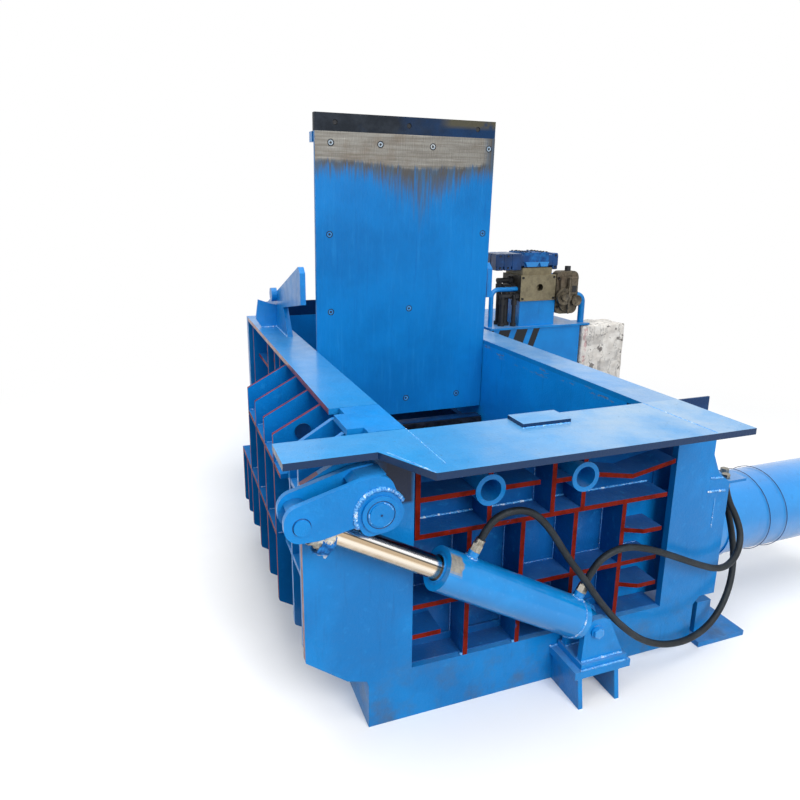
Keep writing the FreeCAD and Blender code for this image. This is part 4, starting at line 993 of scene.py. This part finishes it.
@dataclass
class Frame(Dresser):
    """The chamber, its ribs, the front grid, the loading sheet and the fixed cylinders."""

    posts: tuple[float, ...] = (-0.232, -0.043, 0.154, 0.347)
    depth: float = 0.1
    shelf: float = 0.632
    second: float = 0.398
    sill: float = 0.179
    bosses: tuple[tuple[float, float], ...] = ((-0.167, 0.743), (0.176, 0.738))
    boss_radius: float = 0.053
    side_bolts: tuple[int, float] = (10, 0.195)
    rear_bolts: tuple[int, float] = (8, 0.162)
    main_height: float = 0.373

    def build(self) -> None:
        """Dress the fixed frame."""
        self.finish("base_frame floor_plate left_wall_plate rear_crosshead side_ram_housing "
                    "side_cylinder_flange support_feet turn_bracket lid_side_plates "
                    "lid_base_bracket boss_tubes shaft_bearings side_ram_head",
                    "plate_enamel", 0.0015)
        # The hinge shaft and the ram's head, deep in the chamber, wear a dark navy copy of the
        # enamel, a painted shade.
        self.finish("lid_hinge_shaft main_ram_head", "ram_shade_enamel", 0.0015)
        self.finish("front_frame_plate", "front_plate_enamel", 0.0015)
        self.finish("hopper_sheet", "sheet_enamel", 0.0015)
        self.finish("right_wall_plate", "right_wall_enamel", 0.001)
        self.finish("top_flanges", "flange_enamel", 0.001)
        self.finish("left_wall_ribs", "left_rib_enamel", 0.001)
        # The grid and the wall behind it wear darker copies of the enamel, a painted shade.
        self.finish("front_wall_ribs", "grid_shade_enamel", 0.0008)
        self.finish("front_wall_plate", "recess_shade_enamel", 0.001)
        self.finish("right_wall_ribs", "right_rib_enamel", 0.001)
        self.finish("side_cylinder_barrel main_cylinder_barrel lid_cylinder_barrel",
                    "cylinder_enamel", 0.002)
        self.finish("front_shear_blade main_ram_blade", "shear_steel", 0.001)
        self.finish("main_ram_rod side_ram_rod lid_cylinder_rod", "hard_chrome")
        self.grid_welds()
        self.sheet_welds()
        self.bracket_welds()
        self.side_welds()
        self.pillar_details()
        self.closing_plates()
        self.cylinder_bolts()

    def grid_welds(self) -> None:
        """Weld beads in the corners of the front grid and round the tube stubs."""
        back = self.depth - 0.002
        under, above = self.shelf - 0.018, self.shelf + 0.002
        sill, over = self.sill + 0.002, self.second + 0.002
        dull, runs = [], []
        for x in self.posts:
            for side in (x - 0.010, x + 0.010):
                dull += [(side, back, low, side, back, high, 0.0035)
                         for low, high in ((sill + 0.002, over - 0.022), (over, under))]
            dull.append((x - 0.009, 0.02, under, x - 0.009, back, under, 0.003))
        for x in (-0.415, -0.395, 0.050, 0.070):
            dull.append((x, back, above, x, back, 0.89, 0.0035))
        for low, high in ((-0.410, -0.242), (-0.222, -0.053), (-0.033, 0.144), (0.164, 0.337),
                          (0.357, 0.5)):
            dull.append((low, back, over, high, back, over, 0.004))
        for low, high in ((-0.394, 0.05), (0.07, 0.52)):
            runs.append((low, back, above, high, back, above, 0.0045))
        rings = []
        for x, z in self.bosses:
            low = z - self.boss_radius
            rings.append(ring_seam((x, FRONT + back, z), self.boss_radius, BACK))
            runs.append((x - 0.009, 0.01, low, x - 0.009, back, low, 0.003))
        for x in self.posts[:3]:
            runs.append((x - 0.012, 0.006, sill, x + 0.012, 0.006, sill, 0.006))
        self.group("front_corner_welds", seams(*dull) + rings, "painted_bead")
        self.group("front_grid_welds", seams(*runs), "weld_bead")

    def sheet_welds(self) -> None:
        """Ground-down seams across the loading sheet and under its edge."""
        top = RIM_TOP - 0.0008
        self.group("sheet_welds", seams(
            (0.421, 0.045, top, 0.421, -0.262, top, 0.0022),
            (-0.537, -0.1, top, -0.469, -0.262, top, 0.0026),
            (-0.421, 0.062, top, -0.421, -0.22, top, 0.0018),
            (-0.55, -0.002, 0.925, 0.55, -0.002, 0.925, 0.005),
            (-0.0925, -0.045, top, 0.0725, -0.045, top, 0.0035)), "weld_bead")

    def bracket_welds(self) -> None:
        """Weld beads round the bracket's ears, pad and gussets, and its pin's head."""
        rows = [(0.126, y, 0.151, 0.284, y, 0.151, 0.005) for y in (-0.127, -0.103, -0.041, -0.017)]
        rows += [(x, -0.14, 0.102, x, -0.002, 0.102, 0.004) for x in (0.103, 0.123, 0.245, 0.265)]
        rows += [(0.117, -0.141, 0.131, 0.292, -0.141, 0.131, 0.005),
                 (0.296, -0.14, 0.131, 0.296, -0.004, 0.131, 0.0045),
                 (0.091, -0.002, 0.131, 0.306, -0.002, 0.131, 0.005)]
        self.group("bracket_welds", seams(*rows), "weld_bead")
        head = screw_head((TURN_BASE.x, FRONT - 0.1315, TURN_BASE.z), OUT, 0.019, 0.01)
        self.group("bracket_pin_head", [head], "cylinder_enamel", smooth=False)

    def side_welds(self) -> None:
        """Weld beads on the left flange's stops, the side housing and the outside ribs."""
        top = RIM_TOP + 0.001
        rows = [(-0.559, 1.853, top, -0.462, 1.853, top, 0.006),
                (-0.4805, 1.56, top, -0.4805, 2.1, top, 0.005)]
        rows += [(0.777, 0.04, low, 0.777, 0.04, high, 0.005)
                 for low, high in ((0.62, 0.4), (0.38, 0.17))]
        rows += [(-0.447, y, z, -0.745, y, z, 0.003)
                 for y in (0.432, 0.622, 0.83, 1.038) for z in (0.746, 0.482)]
        ring = ring_seam((0.782, *SIDE_AXIS), 0.1675, RIGHT, 0.007)
        self.group("side_welds", [*seams(*rows), ring], "weld_bead")

    def pillar_details(self) -> None:
        """Weld rows by the side housing, ring grooves of the side cylinder, a rib's plug."""
        y = -0.0005
        self.group("pillar_welds", seams((0.712, y, 0.656, 0.772, y, 0.651, 0.0045),
                                         (0.705, y, 0.606, 0.79, y, 0.6, 0.006),
                                         (0.742, y, 0.575, 0.742, y, 0.46, 0.0025)), "weld_bead")
        grooves = [groove((x, *SIDE_AXIS), RIGHT, SIDE_RADIUS, 0.0014, 96)
                   for x in (1.168, 1.259)]
        self.group("side_cylinder_grooves", grooves, "valve_enamel")
        plug = screw_head((-0.649, FRONT + 0.4275, 0.843), OUT, 0.028, 0.003, 40)
        self.group("rib_plug", [plug], "valve_enamel", smooth=False)

    def closing_plates(self) -> None:
        """Thin plates behind the right pillar, on the window's sill and behind the stops, in the
        darker recess enamel; the plates behind the pillar and the stops are dark backings that
        paint shade.
        """
        shift = Vector((0.0, FRONT, 0.0))
        for name, low, high in (
                ("corner_closing_plate", (0.545, 0.095, 0.589), (0.76, 0.103, 0.926)),
                ("sill_plate", (-0.44, 0.02, 0.174), (0.555, 0.099, 0.1805)),
                ("sill_strip", (-0.44, 0.092, 0.172), (0.44, 0.0985, 0.206)),
                ("stop_rear_plate", (-0.5, 2.203, 0.9), (-0.1, 2.21, 1.035))):
            plate = bevelled(name, Vector(low) + shift, Vector(high) + shift, 0.0015)
            self.piece(plate, "recess_shade_enamel")

    def cylinder_bolts(self) -> None:
        """Hexagon heads round the side and main cylinders' flanges."""
        heads = []
        for across, up in ring_places(*self.side_bolts):
            y, z = SIDE_AXIS[0] + across, SIDE_AXIS[1] + up
            heads.append(screw_head((0.808, y, z), RIGHT, 0.016, 0.012))
        for across, up in ring_places(*self.rear_bolts):
            heads.append(screw_head((across, 1.105, self.main_height + up), BACK, 0.01, 0.008))
        self.group("flange_bolts", heads, "cylinder_enamel", smooth=False)


@dataclass
class Lid(Dresser):
    """The upright lid with its worn face, blade and bolts."""

    bolt_reach: float = 0.05
    bolt_radius: float = 0.0125
    gap: float = 0.0021
    holes: tuple[float, ...] = (-0.33, 0.0, 0.33)
    hole_place: tuple[float, float] = (FRONT + 1.1485, 1.9175)

    def build(self) -> None:
        """Dress the lid."""
        self.finish("lid_wear_plate", "lid_face_paint", 0.001)
        self.finish("lid_frame lid_arms lid_lug", "plate_enamel", 0.0015)
        self.finish("lid_blade", "blade_scale", 0.001)
        self.finish("lid_bolts", "lid_bolt_heads")
        self.bolt_sockets()

    def bolt_sockets(self) -> None:
        """A dark gap round each bolt of the lid's face and a dark socket in its head, with the
        blade's three holes in the same flat black, which paints the shade in sockets and holes.
        """
        middles: list[list[Vector]] = []
        for vertex in self.nodes["lid_bolts"].data.vertices:
            near = [group for group in middles if (group[0] - vertex.co).length < self.bolt_reach]
            if near:
                near[0].append(vertex.co.copy())
            else:
                middles.append([vertex.co.copy()])
        pieces = []
        for x in self.holes:
            pieces.append(screw_head((x, *self.hole_place), OUT, 0.0125, 0.001, 20))
        for group in middles:
            low_y = min(point.y for point in group)
            front = [point for point in group if point.y < low_y + 0.004]
            place = sum(front, Vector()) / len(front)
            pieces.append(screw_head(place, OUT, 0.0052, 0.0012))
            pieces.append(groove(place, OUT, self.bolt_radius, self.gap, 28))
        self.group("lid_bolt_sockets", pieces, "socket_shadow", Body.LID)


@dataclass
class TurnOut(Dresser):
    """The turn-out door with its crank, cylinder and masked rod."""

    wrap_radius: float = 0.04
    hub_weld: float = 0.0695
    tail_station: float = 1.015
    ports: tuple[float, ...] = (0.552, 0.9996)

    def build(self) -> None:
        """Dress the door and its cylinder."""
        self.finish("door_arms door_top_plate", "plate_enamel", 0.0012)
        self.finish("door_panel crank_arm crank_pin door_shaft", "plate_enamel", 0.0015)
        self.finish("turn_barrel", "turn_barrel_enamel", 0.0015)
        self.finish("turn_gland", "painted_gland", 0.0008)
        self.finish("turn_rod", "hard_chrome")
        self.finish("turn_hose_fittings hose_end_fittings", "zinc_fitting", 0.0008)
        self.crank_welds()
        self.barrel_details()
        self.masking()

    def crank_welds(self) -> None:
        """The broken weld round the crank's hub, and the one round its shaft."""
        hub = (SHAFT.x, CRANK_FACE + 0.0005, SHAFT.z)
        runs = [ring_seam(hub, self.hub_weld, OUT, 0.0078, (28.0, 205.0))]
        shaft = (SHAFT.x, CRANK_FACE - 0.0085, SHAFT.z)
        for sweep in ((20.0, 75.0), (170.0, 215.0), (285.0, 330.0)):
            runs.append(ring_seam(shaft, 0.0335, OUT, 0.0028, sweep))
        self.group("crank_welds", runs, "weld_bead", Body.TURN_DOOR)
        grooves = [groove((axle.x, CRANK_FACE - out, axle.z), OUT, radius, 0.0013, 48)
                   for axle, out, radius in ((CRANK_PIN, 0.0, 0.0235), (SHAFT, 0.008, 0.0385))]
        grooves.append(screw_head((SHAFT.x, CRANK_FACE - 0.0118, SHAFT.z), OUT, 0.0035, 0.0012))
        self.group("crank_grooves", grooves, "valve_enamel", Body.TURN_DOOR)

    def barrel_details(self) -> None:
        """Weld beads round the barrel's tail and ports."""
        up = Vector((-TURN_AXIS.z, 0.0, TURN_AXIS.x))
        rings = [ring_seam(CRANK_PIN + TURN_AXIS * self.tail_station, 0.0668, TURN_AXIS, 0.0035)]
        for station in self.ports:
            centre = CRANK_PIN + TURN_AXIS * station + up * 0.0665
            rings.append(ring_seam(centre, 0.0185, up, 0.0045))
        self.group("barrel_welds", rings, "weld_bead", Body.TURN_BARREL)

    def masking(self) -> None:
        """Crumpled paper and film left round the rod's end, each a wrapped sheet."""
        for name, start, length, drop, material, flat in (
                ("rod_paper", 0.048, 0.058, 0.012, "masking_paper", (0.26, 0.075)),
                ("rod_film", 0.076, 0.038, 0.028, "masking_film", (0.26, 0.055))):
            bpy.ops.mesh.primitive_cylinder_add(vertices=72, radius=self.wrap_radius,
                                                depth=length, end_fill_type="NOTHING")
            wrap = named(name)
            with editing():
                bpy.ops.mesh.subdivide(number_cuts=9)
            centre = CRANK_PIN + TURN_AXIS * (start + length / 2)
            aimed(wrap, centre, TURN_AXIS)
            settled(wrap)
            for vertex in wrap.data.vertices:
                vertex.select = vertex.co.z < centre.z - self.wrap_radius * 0.35
            bpy.ops.object.mode_set(mode="EDIT")
            bpy.ops.mesh.select_mode(type="VERT")
            # The loose edge hangs square to the rod, clear of the gland.
            hang = Vector((TURN_AXIS.z, 0.0, -TURN_AXIS.x)) * drop
            bpy.ops.transform.translate(value=(hang.x, -0.004, hang.z), use_proportional_edit=True,
                                        proportional_edit_falloff="SMOOTH", proportional_size=0.03)
            bpy.ops.object.mode_set(mode="OBJECT")
            crumpled(wrap, 0.02, 0.022, 0.4)
            crumpled(wrap, 0.006, 0.006, 0.5)
            thick = wrap.modifiers.new("thick", "SOLIDIFY")
            thick.thickness = 0.0006
            settled(wrap)
            bpy.ops.object.shade_smooth()
            self.piece(wrap, material, Body.TURN_ROD)


@dataclass
class Hoses(Dresser):
    """The two hydraulic hoses from the turn-out cylinder to the side flange."""

    upper: tuple[Point, ...] = (
        (-0.2307, -0.072, 0.6272), (-0.2054, -0.072, 0.6726), (-0.163, -0.074, 0.698),
        (-0.1114, -0.079, 0.705), (-0.0607, -0.086, 0.6885), (-0.0097, -0.096, 0.6334),
        (0.05, -0.106, 0.535), (0.1172, -0.113, 0.4469), (0.1934, -0.115, 0.3396),
        (0.2767, -0.112, 0.2436), (0.3907, -0.103, 0.1455), (0.519, -0.09, 0.0886),
        (0.6507, -0.074, 0.076), (0.7566, -0.058, 0.1148), (0.8331, -0.036, 0.203),
        (0.876, -0.004, 0.305), (0.89, 0.034, 0.4), (0.884, 0.066, 0.49), (0.874, 0.084, 0.575),
    )
    lower: tuple[Point, ...] = (
        (0.1602, -0.072, 0.4084), (0.1876, -0.072, 0.4573), (0.233, -0.072, 0.49),
        (0.3018, -0.072, 0.503), (0.394, -0.071, 0.48), (0.5141, -0.068, 0.426),
        (0.64, -0.063, 0.365), (0.738, -0.058, 0.325), (0.803, -0.05, 0.328),
        (0.853, -0.036, 0.366), (0.876, -0.015, 0.424), (0.868, 0.012, 0.485),
        (0.848, 0.034, 0.535), (0.836, 0.042, 0.588),
    )

    def build(self) -> None:
        """Lay both hoses."""
        self.lay("upper_hose", self.upper, "hose_upper", 1.8, 0.35)
        self.lay("lower_hose", self.lower, "hose_lower", 1.02, 0.25)

    def lay(self, name: str, route: Sequence[Point], node: str, length: float, held: float) -> None:
        """Make one hose as a smooth tube along its route.

        Args:
            name: the hose's name.
            route: the control points of its line.
            node: the model's hose that it replaces.
            length: the hose's real length in metres; not used.
            held: how far along X from its port the hose still follows the cylinder; not used.
        """
        curve = bpy.data.curves.new(name, "CURVE")
        curve.dimensions = "3D"
        curve.resolution_u = 16
        spline = curve.splines.new("NURBS")
        spline.points.add(len(route) - 1)
        for point, (x, y, z) in zip(spline.points, route):
            point.co = (x, FRONT + y, z, 1.0)
        spline.order_u = 3
        spline.use_endpoint_u = True
        hose = bpy.data.objects.new(name, curve)
        bpy.context.scene.collection.objects.link(hose)
        line = bpy.data.meshes.new_from_object(hose)
        curve.bevel_depth = HOSE_DIAMETER / 2
        curve.bevel_resolution = 5
        curve.use_fill_caps = True
        alone(hose)
        bpy.ops.object.convert(target="MESH")
        hose = named(name)
        bpy.ops.object.shade_smooth()
        self.finishes.wear(hose, "hose_cover")
        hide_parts(node)
        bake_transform(hose)


@dataclass
class PowerUnit(Dresser):
    """The oil tank with its valves, pump, motor and wrapped cooler."""

    tank_front: float = FRONT + 1.769
    block: tuple[float, float, float, float] = (0.982, 1.226, 1.033, 1.188)
    pump: tuple[float, float] = (1.316, 1.075)
    rows: int = 3
    row_pitch: float = 0.066
    row_start: float = 0.024
    valve_top: float = 1.323
    coil_heights: tuple[float, float] = (1.2195, 1.318)
    plinth_top: float = 0.879

    def build(self) -> None:
        """Dress the power unit."""
        self.finish("oil_tank", "tank_stripes", 0.002)
        self.finish("tank_cover oil_pipe", "plate_enamel", 0.0015)
        self.finish("motor bell_housing", "cylinder_enamel", 0.001)
        self.finish("manifold_block", "phosphated_block", 0.002)
        self.finish("pump", "pump_casting", 0.003)
        self.finish("valve_solenoids", "valve_enamel", 0.002)
        self.finish("valve_bodies", "valve_stack", 0.002)
        self.screws()
        self.coils()
        self.pump_details()
        self.wrapping()

    def row_fronts(self) -> list[float]:
        """The places of the valve rows' front faces along Y."""
        return [self.tank_front + self.row_start + self.row_pitch * row
                for row in range(self.rows)]

    def screws(self) -> None:
        """Socket heads on the valves, manifold and pump."""
        heads = []
        y = self.tank_front + 0.014
        left, right, low, high = self.block
        for x in (left + 0.014, right - 0.014):
            for z in (low + 0.014, high - 0.014):
                heads.append(screw_head((x, y, z), OUT, 0.007, 0.006, 20))
        for row in self.row_fronts():
            for x in (1.02, 1.05, 1.13, 1.16):
                for side in (0.012, 0.046):
                    heads.append(screw_head((x, row + side, self.valve_top), UP, 0.007, 0.005, 20))
        px, pz = self.pump
        for sign_x in (-1, 1):
            for sign_z in (-1, 0, 1):
                place = (px + sign_x * 0.066, self.tank_front + 0.02, pz + sign_z * 0.088)
                heads.append(screw_head(place, OUT, 0.009, 0.008, 20))
        self.group("unit_screws", heads, "black_screw", smooth=False)

    def coils(self) -> None:
        """Coil housings with sunk sockets, and the light wedges on the front valve."""
        blocks, sockets = [], []
        foot, top = self.coil_heights
        for row, y in enumerate(self.row_fronts()):
            face = y - 0.003
            for low, high in ((0.815, 0.862), (0.868, 0.915), (0.921, 0.985), (1.2, 1.236)):
                blocks.append(bevelled("coil", (low, face, foot), (high, y + 0.061, top), 0.006))
                if row == 0 and high - low < 0.06:
                    sockets += [screw_head(((low + high) / 2, face, z), OUT, 0.006, 0.004, 20)
                                for z in (1.236, 1.304)]
        self.group("coil_housings", blocks, "valve_enamel", smooth=False)
        self.group("coil_sockets", sockets, "black_screw", smooth=False)
        wedges = []
        for x, half in ((1.052, 0.046), (1.136, 0.031)):
            bpy.ops.mesh.primitive_cone_add(vertices=4, radius1=half, radius2=half * 1.5,
                                            depth=0.028, rotation=(0.0, 0.0, math.pi / 4))
            applied()
            wedge = bpy.context.active_object
            wedge.scale = (1.0, 0.2, 1.0)
            wedge.location = (x, self.tank_front + 0.019, 1.253)
            wedges.append(settled(wedge))
        self.group("valve_wedges", wedges, "cylinder_enamel", smooth=False)

    def pump_details(self) -> None:
        """The pump's round flange, rib and ports, its openings in flat black as painted shade, and
        the black pipes beside the plinth, whose flat black also paints the shade there.
        """
        px, pz = self.pump
        face = self.tank_front - 0.014
        parts = [screw_head((px - 0.048, face, pz - 0.02), OUT, 0.05, 0.016, 40),
                 screw_head((px - 0.048, face - 0.01, pz - 0.02), OUT, 0.024, 0.016, 32),
                 screw_head((px + 0.04, face, pz - 0.045), OUT, 0.034, 0.02, 40),
                 bevelled("rib", (px - 0.023, face - 0.02, pz - 0.125),
                          (px - 0.01, face, pz + 0.1), 0.003),
                 bevelled("port", (px - 0.004, face - 0.012, pz - 0.01),
                          (px + 0.046, face, pz + 0.1), 0.005)]
        self.group("pump_details", parts, "pump_casting", smooth=False)
        # The openings' flat black is painted shade.
        dark = [bevelled("hole", (px + 0.004, face - 0.014, pz + 0.006),
                         (px + 0.036, face - 0.008, pz + 0.046), 0.002),
                screw_head((px + 0.008, self.tank_front + 0.04, pz + 0.131), UP, 0.018, 0.03, 32)]
        self.group("pump_openings", dark, "socket_shadow", smooth=False)
        # The pipes wear the flat black of the shadow finish, which also paints the shade beside the
        # plinth.
        unions = []
        foot = self.plinth_top
        for x, y, size, high in ((0.886, 0.062, 0.014, 1.06), (0.925, 0.09, 0.018, 1.11),
                                 (0.956, 0.04, 0.012, 1.06), (0.9, 0.13, 0.016, 1.15)):
            y += self.tank_front
            for start, radius, height in ((foot, size * 1.5, 0.02), (foot, size, high - foot),
                                          (high - 0.05, size * 1.4, 0.03)):
                unions.append(screw_head((x, y, start), UP, radius, height, 20))
            unions.append(screw_head((x - size, y, high), RIGHT, size, 0.984 - x + size, 20))
            unions.append(screw_head((0.958, y, high), RIGHT, size * 1.5, 0.024))
        self.group("plinth_pipes", unions, "socket_shadow", smooth=False)

    def wrapping(self) -> None:
        """The cooler's crumpled newsprint, folded round it."""
        low, high = (Vector(corner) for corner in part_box("wrapped_cooler"))
        size = high - low
        bpy.ops.mesh.primitive_cube_add(size=1.0)
        wrap = named("cooler_wrapping")
        wrap.scale = (size.x * 0.985, size.y * 0.93, size.z * 0.985)
        wrap.location = (low + high) / 2
        settled(wrap)
        with editing():
            bpy.ops.mesh.bevel(offset=0.012, segments=3, affect="EDGES")
            bpy.ops.mesh.select_all(action="SELECT")
            bpy.ops.mesh.subdivide(number_cuts=24)
        crumpled(wrap, 0.13, 0.014, 0.55)
        crumpled(wrap, 0.035, 0.007, 0.55)
        settled(wrap)
        bpy.ops.object.shade_smooth()
        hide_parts("wrapped_cooler")
        self.piece(wrap, "newsprint")


@dataclass
class Studio:
    """Floor, light, background and camera."""

    finishes: Finishes
    eye: Vector = field(default_factory=lambda: Vector((-1.072, FRONT - 1.6, 1.568)))
    lens: float = 28.99
    shift: tuple[float, float] = (0.0103, -0.0371)
    right: Point = (0.9402, -0.3405, 0.007)
    ahead: Point = (0.332, 0.9116, -0.2424)

    def build(self) -> None:
        """Set up the floor, the light, the background and the camera."""
        bpy.ops.mesh.primitive_plane_add(size=60.0, location=(0.0, 0.0, 0.0))
        floor = named("floor")
        self.finishes.wear(floor, "pale_floor")
        self.lights()
        self.world()
        self.camera()
        bpy.context.scene.view_settings.view_transform = "Standard"

    def lights(self) -> None:
        """Soft light from above, the left, the front and the rear."""
        for name, place, size, power in (
                ("sky_light", (-0.3, -0.6, 5.2), 5.0, 190.0),
                ("left_light", (-5.0, -2.6, 3.2), 3.0, 60.0),
                ("front_light", (0.4, -5.8, 3.4), 3.0, 255.0),
                ("rear_light", (0.6, 7.5, 3.6), 8.0, 260.0)):
            lamp = bpy.data.lights.new(name, "AREA")
            lamp.size = size
            lamp.energy = power
            light = bpy.data.objects.new(name, lamp)
            bpy.context.scene.collection.objects.link(light)
            aimed(light, place, Vector(place) - Vector((0.0, -0.4, 0.6)))
            # The rear light lifts the far side without a reflection on the flanges.
            light.visible_glossy = name != "rear_light"

    def world(self) -> None:
        """White where the eye looks past the object, soft and even as light."""
        world = bpy.data.worlds.new("studio")
        bpy.context.scene.world = world
        world.use_nodes = True
        n = Nodes(world.node_tree)
        light = n.tree.nodes["Background"]
        n.give(light.inputs["Color"], (0.93, 0.97, 1.0, 1.0))
        n.give(light.inputs["Strength"], 0.45)
        white = n.add("Background", sockets={"Color": (1.0, 1.0, 1.0, 1.0), "Strength": 1.0})
        mix = n.add("MixShader", n.seen(), light.outputs[0], white)
        n.give(n.tree.nodes["World Output"].inputs[0], mix)

    def camera(self) -> None:
        """The photograph's point of view."""
        data = bpy.data.cameras.new("camera")
        data.sensor_width = 36.0
        data.lens = self.lens
        data.shift_x, data.shift_y = self.shift
        data.clip_end = 100.0
        camera = bpy.data.objects.new("camera", data)
        bpy.context.scene.collection.objects.link(camera)
        right, ahead = Vector(self.right).normalized(), Vector(self.ahead).normalized()
        up = right.cross(ahead).normalized()
        right = ahead.cross(up).normalized()
        turn = Matrix((right, up, -ahead)).transposed().to_4x4()
        camera.matrix_world = Matrix.Translation(self.eye) @ turn
        bpy.context.scene.camera = camera


def main() -> None:
    """Dress the whole machine and set up the studio."""
    logging.basicConfig(level=logging.INFO)
    finishes = Finishes()
    for part in (Frame, Lid, TurnOut, Hoses, PowerUnit):
        part(finishes).build()
        LOG.info("%s dressed", part.__name__)
    Studio(finishes).build()


if __name__ == "__main__":
    main()
